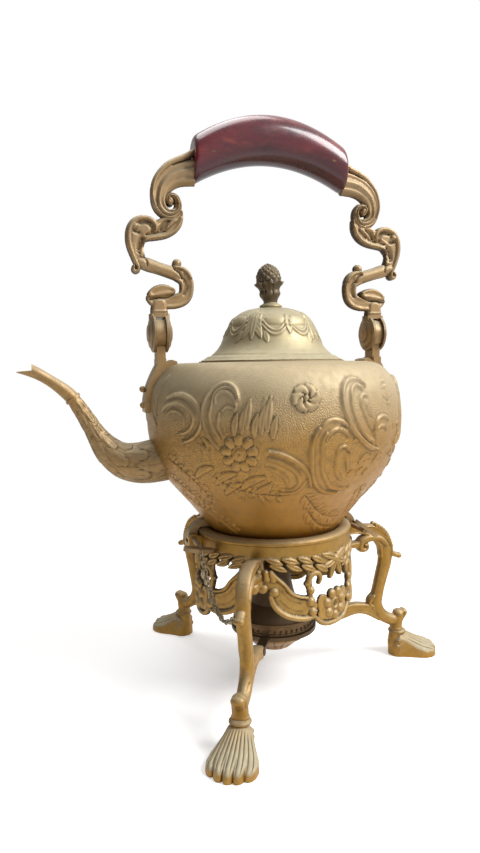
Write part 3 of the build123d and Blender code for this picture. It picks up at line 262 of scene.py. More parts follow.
def pushed_out(section, azimuths, height):
    """The outline turned to each azimuth, and each point moved along the outline's normal by its height."""
    return turned(section, azimuths) + turned(outward(section), azimuths) * height[..., None]


def run_of(section):
    """Distance along an outline at each of its points."""
    return np.concatenate([[0.0], np.cumsum(np.linalg.norm(np.diff(section, axis=0), axis=1))])


def blurred(field, times):
    """The field after a number of passes that average each point with its four neighbours."""
    soft = field.copy()
    for _ in range(times):
        wide = np.pad(soft, 1, mode="edge")
        soft = (wide[:-2, 1:-1] + wide[2:, 1:-1] + wide[1:-1, :-2] + wide[1:-1, 2:] + 2 * soft) / 6
    return soft


def hollows(field, times=5, depth=0.22):
    """How sunk each point is: its depth below the blurred field as a share of the given depth, 0 to 1."""
    return np.clip((blurred(field, times) - field) / depth, 0, 1)


def smooth_step(value, low, high):
    """0 below low, 1 above high and a smooth cubic between."""
    share = np.clip((value - low) / (high - low), 0, 1)
    return share * share * (3 - 2 * share)


def moved(strokes, change):
    """The strokes with each point (place, height, half width) put through a function."""
    return [(kind, high, [change(*point) for point in points]) for kind, high, points in strokes]


def stroke_field(azimuths, run, radius, strokes, with_edge=False):
    """Height of strokes over a turned surface, or over a plane where one degree is one millimetre.

    A stroke is a smooth line of (degrees, distance along the outline, half width w). At distance d from it
    and with u = d/w, the height is h times exp(-u^2) for a ridge, sqrt(1 - u^2) for a lobe, the lobe less a
    fine middle line for a leaf, 1/(1 + u^8) for a flat, the lobe's fourth root less 0.3*exp(-(u/0.6)^4) for
    a dish, and sqrt(1 - u^2)*(1 + 0.13*cos(3*pi*u)) for a flute. A cut takes h*exp(-u^2) away. The highest
    base and the highest ridge are added up. The edge field is the greatest w - d over all but ridges and
    cuts.
    """
    base = np.zeros((len(run), len(azimuths)))
    ridge, cut, edge = base.copy(), base.copy(), base - 50.0
    for kind, high, points in strokes:
        way = np.asarray(points, float)
        way = through(way, 4 * (len(way) - 1) + 1) if len(way) > 2 else way
        reach = 2.6 * np.abs(way[:, 2]).max()
        rows = np.nonzero((run > way[:, 1].min() - reach) & (run < way[:, 1].max() + reach))[0]
        if len(rows) == 0:
            continue
        turn = np.degrees(reach / max(radius[rows].min(), 5.0))
        cols = np.nonzero((azimuths > way[:, 0].min() - turn) & (azimuths < way[:, 0].max() + turn))[0]
        if len(cols) == 0:
            continue
        here = np.ix_(rows, cols)
        scale = np.broadcast_to(np.radians(radius[rows])[:, None, None], (len(rows), len(cols), 1))
        ax = (way[None, None, :-1, 0] - azimuths[cols][None, :, None]) * scale
        bx = (way[None, None, 1:, 0] - azimuths[cols][None, :, None]) * scale
        ay = way[None, None, :-1, 1] - run[rows][:, None, None] + 0 * ax
        by = way[None, None, 1:, 1] - run[rows][:, None, None] + 0 * ax
        dx, dy = bx - ax, by - ay
        share = np.clip(-(ax * dx + ay * dy) / (dx * dx + dy * dy + 1e-9), 0, 1)
        gap = np.hypot(ax + share * dx, ay + share * dy)
        wide = np.maximum(way[None, None, :-1, 2] * (1 - share) + way[None, None, 1:, 2] * share, 1e-3)
        pick = np.argmin(gap / wide, axis=2)[..., None]
        ratio = np.take_along_axis(gap / wide, pick, axis=2)[..., 0]
        apart = np.take_along_axis(gap, pick, axis=2)[..., 0]
        if kind == "ridge":
            ridge[here] = np.maximum(ridge[here], high * np.exp(-ratio ** 2))
            continue
        if kind == "cut":
            cut[here] = np.maximum(cut[here], high * np.exp(-ratio ** 2))
            continue
        dome = np.sqrt(np.clip(1 - ratio ** 2, 0, 1))
        if kind == "flat":
            dome = 1 / (1 + ratio ** 8)
        elif kind == "leaf":
            dome = dome - 0.35 * np.exp(-(apart / 0.6) ** 2) * (ratio < 1)
        elif kind == "dish":
            dome = np.sqrt(dome) - 0.3 * np.exp(-(ratio / 0.6) ** 4)
        elif kind == "flute":
            dome = dome * (1 + 0.13 * np.cos(3 * np.pi * ratio))
        base[here] = np.maximum(base[here], high * dome)
        edge[here] = np.maximum(edge[here], np.take_along_axis(wide - gap, pick, axis=2)[..., 0])
    height = base + ridge - cut
    return (height, edge) if with_edge else height


def casting(x_range, z_range, cell, strokes, skin=0.5, outline=0.8):
    """A flat casting drawn with strokes: places, half thickness and edge field on a grid of x and z.

    The grid points just outside the outline are moved onto it along the edge field's slope, and the half
    thickness is 0 there, so that the two faces y = +t and y = -t meet in one closed edge.
    """
    xs = np.arange(x_range[0], x_range[1] + cell, cell)
    zs = np.arange(z_range[0], z_range[1] + cell, cell)
    flat = np.full(len(zs), 180 / np.pi)
    thick, edge = stroke_field(xs, zs, flat, strokes, True)
    inside = edge > 0
    keep = inside[:-1, :-1] | inside[1:, :-1] | inside[:-1, 1:] | inside[1:, 1:]
    slope_z, slope_x = np.gradient(edge, cell)
    steep = np.maximum(slope_x ** 2 + slope_z ** 2, 0.3)
    out = np.where(edge < 0, np.clip(edge, -1.5 * cell, 0), 0)
    grid_x, grid_z = np.meshgrid(xs, zs)
    x = grid_x - out * slope_x / steep
    z = grid_z - out * slope_z / steep
    # Shade: old polish and painted shade in the sunk parts, and a painted dark outline along the edge standing
    # in for shade on the casting's sides
    shade = hollows(thick, 4, 0.55) * (edge > 0.5)
    shade = np.maximum(shade, outline * (1 - smooth_step(edge, 0.0, 0.55)))
    thick = np.where(inside, np.maximum(thick, skin * smooth_step(edge, 0, 0.4) + 0.02), 0)
    return x, z, thick, keep, shade


def super_ellipse(count, power):
    """Points of the curve |x|^(2/power) + |y|^(2/power) = 1 at even angles, rounder as power nears 1."""
    angle = np.linspace(0, 2 * np.pi, count, endpoint=False)
    across = np.sign(np.cos(angle)) * np.abs(np.cos(angle)) ** power
    over = np.sign(np.sin(angle)) * np.abs(np.sin(angle)) ** power
    return across, over


def swept_bar(stations, count, around, power):
    """A bar in the X-Z plane, swept along a smooth line of (x, z, half width, half thickness).

    At each step the section is a super-ellipse. The shade grows to its edges as 0.55*|u|^3, u being the
    share of the half width.
    """
    way = through(stations, count)
    along = np.gradient(way[:, :2], axis=0)
    along /= np.linalg.norm(along, axis=1)[:, None]
    across, over = super_ellipse(around, power)
    a = way[:, 2][:, None] * across[None, :]
    b = way[:, 3][:, None] * over[None, :]
    x = way[:, 0][:, None] + a * along[:, 1][:, None]
    z = way[:, 1][:, None] - a * along[:, 0][:, None]
    shade = np.broadcast_to((0.55 * np.abs(across) ** 3)[None, :], x.shape)
    return np.stack([x, b, z], axis=-1), shade


def ball(centre, radii, around, rows):
    """An ellipsoid: radii times (cos p cos q, cos p sin q, sin p) over latitude p and longitude q."""
    p = np.linspace(-np.pi / 2, np.pi / 2, rows)[:, None]
    q = np.linspace(0, 2 * np.pi, around, endpoint=False)[None, :]
    unit = np.stack([np.cos(p) * np.cos(q), np.cos(p) * np.sin(q), np.sin(p) + 0 * q], axis=-1)
    return np.asarray(centre, float) + unit * np.asarray(radii, float)


def turn_z(grid, degrees):
    """The grid turned about the kettle's axis."""
    c, s = math.cos(math.radians(degrees)), math.sin(math.radians(degrees))
    return grid @ np.array([[c, s, 0], [-s, c, 0], [0, 0, 1]])


# Meshes

class Mould:
    """Collects grids of points and makes one mesh of them."""

    def __init__(self, name):
        self.name = name
        self.points = []
        self.shade = []
        self.ground = []
        self.quads = []
        self.total = 0

    def add(self, grid, wrap=True, shade=None, ground=None):
        """Adds a grid of points, rows by columns; wrap joins the last column to the first."""
        rows, cols = grid.shape[:2]
        index = np.arange(rows * cols).reshape(rows, cols) + self.total
        after = np.roll(index, -1, axis=1) if wrap else index[:, 1:]
        before = index if wrap else index[:, :-1]
        quads = np.stack([before[:-1], after[:-1], after[1:], before[1:]], axis=-1).reshape(-1, 4)
        self.points.append(grid.reshape(-1, 3))
        empty = np.zeros(rows * cols)
        self.shade.append(empty if shade is None else np.broadcast_to(shade, (rows, cols)).ravel())
        self.ground.append(empty if ground is None else np.broadcast_to(ground, (rows, cols)).ravel())
        self.quads.append(quads)
        self.total += rows * cols
        return self

    def add_faces(self, front, back, keep, shade):
        """Adds the kept cells of two sheets that meet round their edge, the back one wound the other way."""
        rows, cols = front.shape[:2]
        index = np.arange(rows * cols).reshape(rows, cols)
        cells = np.stack([index[:-1, :-1], index[:-1, 1:], index[1:, 1:], index[1:, :-1]], axis=-1)[keep]
        used, compact = np.unique(cells, return_inverse=True)
        compact = compact.reshape(-1, 4)
        for sheet, order in ((front, [0, 1, 2, 3]), (back, [3, 2, 1, 0])):
            self.points.append(sheet.reshape(-1, 3)[used])
            self.shade.append(np.asarray(shade).ravel()[used])
            self.ground.append(np.zeros(len(used)))
            self.quads.append(compact[:, order] + self.total)
            self.total += len(used)

    def make(self, material, body, slot, stands_for=()):
        """Makes a mesh in metres, closes open ends, turns its faces outwards and hangs it on a body."""
        points = np.concatenate(self.points) * MM
        quads = np.concatenate(self.quads)
        mesh = bpy.data.meshes.new(self.name)
        mesh.vertices.add(len(points))
        mesh.vertices.foreach_set("co", points.ravel())
        mesh.loops.add(quads.size)
        mesh.loops.foreach_set("vertex_index", quads.ravel())
        mesh.polygons.add(len(quads))
        mesh.polygons.foreach_set("loop_start", np.arange(0, quads.size, 4))
        mesh.update(calc_edges=True)
        # The stored shade is painted shade in hollows, along cast edges and on insides, together with the old
        # polish that lies in the hollows
        for name, values in (("shade_and_polish", self.shade), ("ground", self.ground)):
            layer = mesh.attributes.new(name, "FLOAT", "POINT")
            layer.data.foreach_set("value", np.concatenate(values).astype(np.float32))
        form = bmesh.new()
        form.from_mesh(mesh)
        bmesh.ops.remove_doubles(form, verts=form.verts, dist=2e-6)
        bmesh.ops.dissolve_degenerate(form, edges=form.edges, dist=1e-7)
        rims = [edge for edge in form.edges if edge.is_boundary]
        if rims:
            bmesh.ops.holes_fill(form, edges=rims, sides=0)
        bmesh.ops.recalc_face_normals(form, faces=form.faces)
        form.to_mesh(mesh)
        form.free()
        mesh.shade_smooth()
        mesh.set_sharp_from_angle(angle=math.radians(SMOOTH_UNDER))
        piece = bpy.data.objects.new(self.name, mesh)
        bpy.context.scene.collection.objects.link(piece)
        mesh.materials.append(materials()[material])
        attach(piece, body)
        if stands_for:
            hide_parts(*stands_for)


# Materials

class Nodes:
    """A node tree that is filled step by step."""

    def __init__(self, tree):
        self.tree = tree
        self.tree.nodes.clear()

    def node(self, kind, **values):
        made = self.tree.nodes.new(kind)
        for key, value in values.items():
            setattr(made, key, value)
        return made

    def join(self, start, end):
        self.tree.links.new(start, end)

    def put(self, socket, value):
        """Links an output or sets a plain value."""
        if hasattr(value, "is_output"):
            self.join(value, socket)
        elif hasattr(socket.default_value, "__len__") and len(socket.default_value) == 4 and len(value) == 3:
            socket.default_value = (*value, 1.0)
        else:
            socket.default_value = value

    def spread(self, value, low, high, to_low=0.0, to_high=1.0):
        """Maps low..high to to_low..to_high, held at the ends."""
        made = self.node("ShaderNodeMapRange")
        self.put(made.inputs["Value"], value)
        for key, number in (("From Min", low), ("From Max", high), ("To Min", to_low), ("To Max", to_high)):
            made.inputs[key].default_value = number
        return made.outputs[0]

    def sum(self, kind, first, second, third=None):
        """One step of arithmetic."""
        made = self.node("ShaderNodeMath", operation=kind, use_clamp=kind != "MULTIPLY_ADD")
        self.put(made.inputs[0], first)
        self.put(made.inputs[1], second)
        if third is not None:
            self.put(made.inputs[2], third)
        return made.outputs[0]

    def axis(self, vector, axis):
        """One axis of a vector."""
        made = self.node("ShaderNodeSeparateXYZ")
        self.join(vector, made.inputs[0])
        return made.outputs[axis]

    def seen_directly(self):
        """1 on camera, glossy and transmission rays, 0 on all others."""
        path = self.node("ShaderNodeLightPath")
        share = self.sum("MAXIMUM", path.outputs["Is Camera Ray"], path.outputs["Is Glossy Ray"])
        return self.sum("MAXIMUM", share, path.outputs["Is Transmission Ray"])


class Recipe(Nodes):
    """Builds one node material step by step."""

    def __init__(self, name):
        # The loaded frame may hold a plain material of this name already, such as wire
        self.material = bpy.data.materials.get(name) or bpy.data.materials.new(name)
        self.material.use_nodes = True
        super().__init__(self.material.node_tree)
        self.shader = self.node("ShaderNodeBsdfPrincipled")
        out = self.node("ShaderNodeOutputMaterial")
        self.join(self.shader.outputs[0], out.inputs["Surface"])
        self.coords = self.node("ShaderNodeTexCoord")

    def noise(self, scale, detail=3.0, rough=0.55, stretch=None):
        """Fractal noise on object coordinates, 0 to 1."""
        made = self.node("ShaderNodeTexNoise")
        made.inputs["Scale"].default_value = scale
        made.inputs["Detail"].default_value = detail
        made.inputs["Roughness"].default_value = rough
        source = self.coords.outputs["Object"]
        if stretch:
            mapping = self.node("ShaderNodeMapping")
            mapping.inputs["Scale"].default_value = stretch
            self.join(source, mapping.inputs["Vector"])
            source = mapping.outputs[0]
        self.join(source, made.inputs["Vector"])
        return made.outputs["Fac"]

    def cells(self, scale):
        """Distance to the nearest cell centre on object coordinates."""
        made = self.node("ShaderNodeTexVoronoi")
        made.inputs["Scale"].default_value = scale
        self.join(self.coords.outputs["Object"], made.inputs["Vector"])
        return made.outputs["Distance"]

    def mix(self, share, first, second):
        """A colour between two by a share."""
        made = self.node("ShaderNodeMix", data_type="RGBA")
        self.put(made.inputs[0], share)
        self.put(made.inputs[6], first)
        self.put(made.inputs[7], second)
        return made.outputs[2]

    def attribute(self, name):
        """A number stored on the mesh's points."""
        return self.node("ShaderNodeAttribute", attribute_name=name).outputs["Fac"]

    def height(self):
        """Height in the object's own frame, in metres."""
        return self.axis(self.coords.outputs["Object"], 2)

    def upward(self):
        """How far the surface faces up, -1 to 1."""
        return self.axis(self.coords.outputs["Normal"], 2)

    def bump(self, height, depth, strength=1.0, under=None):
        """Raises the surface by a height field, depth in metres."""
        made = self.node("ShaderNodeBump")
        made.inputs["Strength"].default_value = strength
        made.inputs["Distance"].default_value = depth
        self.join(height, made.inputs["Height"])
        if under is not None:
            self.join(under, made.inputs["Normal"])
        return made.outputs[0]

    def finish(self, **values):
        """Sets the shader's sockets by name."""
        for key, value in values.items():
            self.put(self.shader.inputs[key.replace("_", " ")], value)


def old_brass(name, bright, deep, dust, metallic=0.6, rough=0.4, dusty=0.6, stipple=0.0, low_gold=None,
              tarnish=0.4, layer=None):
    """Brass that was polished long ago: cloudy tarnish, dark old polish and painted shade in hollows, along
    edges and on insides, and dust on what faces up.

    low_gold gives two heights in millimetres and the colour that the metal turns to below them. layer gives
    two heights and the most dust between them. Where its first height is the higher, the dust lies low and
    only on what faces up.
    """
    r = Recipe(name)
    cloud = r.noise(38, 4, 0.6)
    fine = r.noise(260, 3, 0.6)
    grain = r.noise(1300, 2, 0.5)
    warm = tuple(min(1.0, v * f) for v, f in zip(bright, (1.05, 0.94, 0.70)))
    base = r.mix(r.spread(cloud, 0.35, 0.68), bright, warm)
    if low_gold is not None:
        low, high, gold = low_gold
        uneven = r.sum("MULTIPLY_ADD", cloud, 0.03, r.height())
        base = r.mix(r.spread(uneven, low * MM, high * MM, 1.0, 0.0), base, gold)
    worn = r.spread(fine, 0.42, 0.7, 0.0, tarnish)
    base = r.mix(worn, base, tuple(0.55 * v + 0.45 * d for v, d in zip(bright, deep)))
    # Old polish and painted shade: the colour goes to the recess colour where the stored shade is high
    sunk = r.sum("MULTIPLY_ADD", fine, 0.35, r.attribute("shade_and_polish"))
    sunk = r.spread(sunk, 0.22, 0.95)
    base = r.mix(sunk, base, deep)
    settled = r.sum("MULTIPLY", r.spread(r.upward(), 0.05, 0.85), r.spread(cloud, 0.3, 0.62, 0.55, 1.0))
    settled = r.sum("MULTIPLY", settled, dusty)
    if layer is not None:
        start, full, most = layer
        uneven = r.sum("MULTIPLY_ADD", cloud, 0.02, r.height())
        more = r.spread(uneven, start * MM, full * MM, 0.0, most)
        if start > full:
            more = r.sum("MULTIPLY", more, r.spread(r.upward(), 0.15, 0.55))
        settled = r.sum("MAXIMUM", settled, more)
    settled = r.sum("MULTIPLY", settled, r.spread(sunk, 0.0, 1.0, 1.0, 0.35))
    base = r.mix(settled, base, dust)
    dull = r.sum("MULTIPLY_ADD", settled, 0.35, rough)
    dull = r.sum("MULTIPLY_ADD", r.spread(fine, 0.3, 0.7), 0.14, dull)
    dull = r.sum("MULTIPLY_ADD", sunk, 0.2, dull)
    shine = r.spread(r.sum("ADD", settled, sunk), 0.0, 1.2, metallic, 0.35 * metallic)
    skin = r.bump(r.sum("MULTIPLY_ADD", grain, 0.35, r.spread(cloud, 0.0, 1.0)), 0.00012, 0.5)
    if stipple:
        pits = r.sum("MULTIPLY", r.spread(r.cells(1050), 0.0, 0.55), r.attribute("ground"))
        skin = r.bump(pits, 0.00022 * stipple, 1.0, skin)
    r.finish(Base_Color=base, Metallic=shine, Roughness=dull, Normal=skin)


def polished_horn(name, red, deep):
    """The grip: deep red with dark marbled streaks along it, under a hard polish, with painted shade on what
    faces down.
    """
    r = Recipe(name)
    streak = r.noise(42, 6, 0.62, stretch=(0.35, 1.0, 1.0))
    fleck = r.noise(210, 4, 0.6, stretch=(0.5, 1.0, 1.0))
    base = r.mix(r.spread(streak, 0.36, 0.64), red, deep)
    base = r.mix(r.spread(fleck, 0.56, 0.74, 0.0, 0.5), base, tone(140, 60, 46))
    # Painted shade: darker towards what faces down
    under = r.spread(r.upward(), -0.9, 0.1, 0.85, 0.0)
    base = r.mix(under, base, tone(38, 14, 24))
    dull = r.spread(fleck, 0.3, 0.7, 0.2, 0.36)
    skin = r.bump(r.noise(90, 3, 0.5), 0.00035, 0.5)
    r.shader.inputs["Specular IOR Level"].default_value = 0.35
    r.finish(Base_Color=base, Roughness=dull, Normal=skin, Coat_Weight=0.4, Coat_Roughness=0.1)


def cotton(name, pale):
    """Packed cotton threads, sooty on top."""
    r = Recipe(name)
    thread = r.noise(900, 3, 0.6, stretch=(1.0, 1.0, 0.15))
    base = r.mix(r.spread(thread, 0.35, 0.65), pale, tuple(0.45 * v for v in pale))
    base = r.mix(r.spread(r.noise(300, 3), 0.5, 0.65), base, tone(60, 52, 44))
    r.finish(Base_Color=base, Roughness=0.95, Normal=r.bump(thread, 0.0006, 1.0))


def materials():
    """All materials, made once and found by name after that."""
    if "body brass" in bpy.data.materials:
        return bpy.data.materials
    f = sizes().finishes
    dust, body_polish_and_shade, stand_polish_and_shade = tuple(f.dust), tuple(f.body_polish_and_shade), tuple(f.stand_polish_and_shade)
    low_gold = (124, 200, tone(160, 110, 30))
    old_brass("body brass", tuple(f.body), body_polish_and_shade, dust, rough=0.38, dusty=0.65, stipple=1.35,
              low_gold=low_gold, tarnish=0.45, layer=(178, 210, 0.55))
    old_brass("lid brass", tone(166, 154, 122), body_polish_and_shade, dust, metallic=0.55, rough=0.38, tarnish=0.3)
    old_brass("fitting brass", tone(152, 126, 90), body_polish_and_shade, dust)
    old_brass("spout brass", tone(150, 122, 82), body_polish_and_shade, dust, dusty=0.5, tarnish=0.5)
    old_brass("handle brass", tuple(f.handle), tuple(f.handle_polish_and_shade), tone(188, 176, 148), metallic=0.55,
              rough=0.42, dusty=0.8, tarnish=0.3)
    old_brass("stand brass", tuple(f.stand), stand_polish_and_shade, dust, dusty=0.5, layer=(40, 18, 0.8))
    old_brass("gallery brass", tone(164, 129, 66), stand_polish_and_shade, dust, tarnish=0.45)
    old_brass("burner brass", tuple(f.burner), tone(58, 40, 20), dust, metallic=0.9, rough=0.3, dusty=0.0)
    old_brass("smoked brass", tuple(f.dark), tone(26, 20, 16), tone(96, 84, 66), rough=0.44, dusty=0.5,
              tarnish=0.5)
    old_brass("singed brass", tone(104, 80, 50), tone(34, 26, 18), tone(120, 104, 78), rough=0.42, dusty=0.5,
              tarnish=0.5)
    old_brass("knob bronze", tuple(f.finial), tone(28, 20, 14), tone(150, 136, 108), metallic=0.5,
              rough=0.42, tarnish=0.35)
    old_brass("wire", tuple(f.wire), tone(60, 50, 38), dust, metallic=0.7, rough=0.42, dusty=0.2, tarnish=0.3)
    polished_horn("grip horn", tuple(f.grip), tuple(f.grip_deep))
    cotton("wick cotton", tuple(f.wick))
    return bpy.data.materials


def repaint(name, *nodes):
    """Gives CAD nodes one of the materials."""
    for node in nodes:
        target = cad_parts[node]
        target.data.materials.clear()
        target.data.materials.append(materials()[name])


# The body

def body_outline():
    """The belly's outside from the foot to the shoulder, and the flat shoulder in to the mouth ring."""
    s = sizes().kettle
    base, belly, high = s.base_radius / MM, s.belly_radius / MM, s.body_height / MM
    low = top_of("kettle_bottom")
    shares = ((0.0, 0.0), (0.21, 0.105), (0.49, 0.223), (0.745, 0.338), (0.93, 0.488),
              (0.997, 0.64), (0.985, 0.779), (0.94, 0.854), (0.83, 0.924))
    points = [(base + (belly - base) * r, low + high * h) for r, h in shares]
    shoulder, top = s.shoulder_radius / MM, low + high
    points += [(shoulder + 6, top - 1.9), (shoulder, top - 0.4)]
    flat = np.linspace((shoulder - 0.7, top - 0.3), (s.mouth_radius / MM, top), 20)
    return np.vstack([through(points, 176), flat])


# The strokes below hold a kind, a height and points of (azimuth, height above the floor, half width)

# Two nested arcs at the spout side and the shell-backed scroll beside them
LEFT_ARCS = [
    ("ridge", 1.5, [(-156.6, 191.5, .8), (-150.2, 193.7, 1), (-145.9, 193.3, 1.1), (-141.6, 191, 1.1),
        (-138.5, 187.2, 1.1), (-136.8, 182.9, 1), (-136.9, 178.6, 1), (-138.4, 173.6, 1), (-142, 169, .9),
        (-147, 166.6, .7)]),
    ("ridge", 1.3, [(-159.7, 184.1, .8), (-156.6, 187.5, 1), (-153.2, 188.7, 1), (-149.6, 189.2, 1),
        (-145.9, 188.2, 1), (-142.8, 185.6, 1), (-141, 182.9, .9), (-140.7, 179.2, .9), (-142.2, 175.2, .9),
        (-145.4, 172.2, .8), (-149.4, 171.2, .6)]),
    ("ridge", 1.0, [(-157, 181, .6), (-153.4, 184, .8), (-149.4, 183.8, .8), (-146, 181, .8),
        (-146, 177.6, .6)]),
    ("flat", 0.5, [(-158, 187.8, 3), (-150, 191.2, 4), (-143, 188, 4), (-139, 182, 3)]),
    ("ridge", 1.6, [(-130, 164.5, .7), (-133, 169.8, 1), (-135.5, 176.8, 1.1), (-136.4, 185.2, 1.2),
        (-135.5, 190.6, 1.2), (-133, 196, 1.2), (-130, 198.7, 1.2), (-126.9, 199.7, 1.2),
        (-123.9, 198.3, 1.1), (-122, 195.2, 1), (-121.1, 191.4, .8)]),
    ("ridge", 1.1, [(-129.3, 170.6, .7), (-132.1, 176.8, .9), (-133, 182.9, .9), (-132.1, 189.1, .9),
        (-131.2, 194.5, .9), (-128.7, 197.2, .9), (-125.7, 197.7, .9), (-122.9, 194.8, .8),
        (-121.7, 191, .7)]),
    ("ridge", 1.0, [(-130.6, 189.3, .7), (-130.6, 193.3, .8), (-128.1, 195.4, .8), (-125.7, 194.8, .8),
        (-123.5, 192.2, .8), (-122.3, 188.7, .8), (-122.1, 186, .6)]),
    ("ridge", 1.1, [(-127.5, 170.6, .7), (-129.4, 176.8, .9), (-129, 183.7, .8)]),
    ("ridge", 1.0, [(-127.8, 185.2, .7), (-126, 187.2, .8), (-123.8, 186.9, .8), (-122.6, 185.6, .7)]),
    ("flat", 0.6, [(-130.5, 168, 3), (-132.8, 178, 4.2), (-132, 189, 4.6), (-127, 196, 4.6),
        (-122.5, 190, 2.6)]),
    ("ridge", 0.9, [(-139, 170, .6), (-137.4, 166, .9), (-136.4, 161, .7)]),
    ("leaf", 0.9, [(-138.6, 165.5, 1.2), (-136.2, 163.6, 1.7), (-134.2, 160.4, .6)]),
    ("leaf", 0.9, [(-136.6, 169.5, .6), (-134.8, 166.6, 1.4), (-134.6, 163, .5)]),
]


def plumes():
    """Two groups of upright plumes with scalloped edges between the scrolls."""
    found = [
        ("flat", 0.45, [(-120.6, 172, 2.4), (-119.2, 179, 4), (-118, 186, 2.6), (-117.4, 190.5, 1)]),
        ("flat", 0.45, [(-113.6, 171, 2.4), (-111.9, 178, 4.2), (-111, 186, 2.6), (-110.8, 191.5, 1)]),
    ]
    for azimuth, low, high, wide in (
        (-122.4, 172.5, 184.0, 2.2), (-119.4, 173.5, 187.0, 2.2), (-117.4, 176.5, 191.5, 2.4),
        (-114.6, 172.0, 183.5, 2.2), (-112.0, 173.0, 187.5, 2.3), (-109.6, 175.0, 192.5, 2.5),
        (-107.6, 171.0, 182.0, 2.2),
    ):
        found.append(("leaf", 1.5, [(azimuth - 0.6, low, 0.5 * wide),
                                    (azimuth - 0.3, 0.5 * (low + high), wide),
                                    (azimuth + 0.8, high, 0.25 * wide)]))
    return found


def flowers():
    """The daisy and the pinwheel: round lobes about a button."""
    daisy, pinwheel = (-121.4, 161.6), (-95.3, 191.7)

    def beside(middle, turn, across, up, wide):
        """A stroke's point at an angle on an oval about a flower's middle."""
        return (middle[0] + across * math.cos(turn), middle[1] + up * math.sin(turn), wide)

    found = [
        ("lobe", 1.5, [(-121.4, 161.4, 4.2), (-121.3, 161.8, 4.2)]),
        ("cut", 0.7, [(-121.4, 161.5, 1), (-121.3, 161.6, 1)]),
        ("cut", 0.45, [beside(daisy, t, 2.1, 3.0, 0.5) for t in np.linspace(0, 2 * np.pi, 13)]),
    ]
    for k in range(9):
        turn = math.radians(40 * k + 10)
        found.append(("lobe", 1.5, [beside(daisy, turn, 4.7, 6.7, 2.5), beside(daisy, turn, 5.9, 8.4, 2.6)]))
    found.append(("lobe", 1.5, [(-95.3, 191.6, 1.5), (-95.2, 191.8, 1.5)]))
    for k in range(6):
        turn = math.radians(60 * k + 20)
        bend = turn + 0.5
        found.append(("lobe", 1.6, [beside(pinwheel, turn, 1.9, 2.4, 0.9),
                                    beside(pinwheel, bend, 4.0, 5.1, 2.3),
                                    beside(pinwheel, bend + 0.6, 4.9, 6.5, 1.3)]))
    return found


# The rolled shield under the daisy with its curled edge
CARTOUCHE = [
    ("ridge", 1.5, [(-110, 163.3, .9), (-106.3, 162.2, 1.1), (-102, 159.5, 1.2), (-97.7, 155.6, 1.2),
        (-94.6, 151.8, 1.2), (-92.8, 146.8, 1.1), (-91.6, 142.2, .9)]),
    ("ridge", 1.2, [(-110, 159.1, .8), (-106.3, 157.5, 1), (-102.6, 154.9, 1), (-99.5, 151.8, 1),
        (-97.4, 147.9, 1), (-97.1, 144.5, 1), (-98.3, 141.8, .9), (-101.4, 140.2, .9), (-104.5, 140.6, .7)]),
    ("ridge", 1.1, [(-93.6, 146, .8), (-95.3, 142.9, 1), (-97.7, 139.1, 1), (-102, 137.9, .9),
        (-106, 138.6, .7)]),
    ("ridge", 0.9, [(-110, 153.7, .7), (-106.3, 151.4, .9), (-103.2, 147.5, .9), (-102.3, 144.5, .7)]),
    ("flat", 0.5, [(-110, 159, 4), (-103, 156, 5), (-98, 149, 5), (-99, 142, 3.4)]),
    ("leaf", 1.3, [(-112, 148, 1), (-117, 146, 2.4), (-122, 141, 1)]),
    ("leaf", 1.3, [(-109, 144, 1), (-113, 140, 2.4), (-118, 136.5, .8)]),
    ("leaf", 1.3, [(-124, 150, 1), (-129, 148, 2.4), (-134, 143, 1)]),
    ("leaf", 1.3, [(-122, 144, .8), (-127, 141, 2.2), (-131, 136.5, .8)]),
    ("leaf", 1.3, [(-134, 153, .8), (-139, 151, 2.2), (-144, 146, .8)]),
]


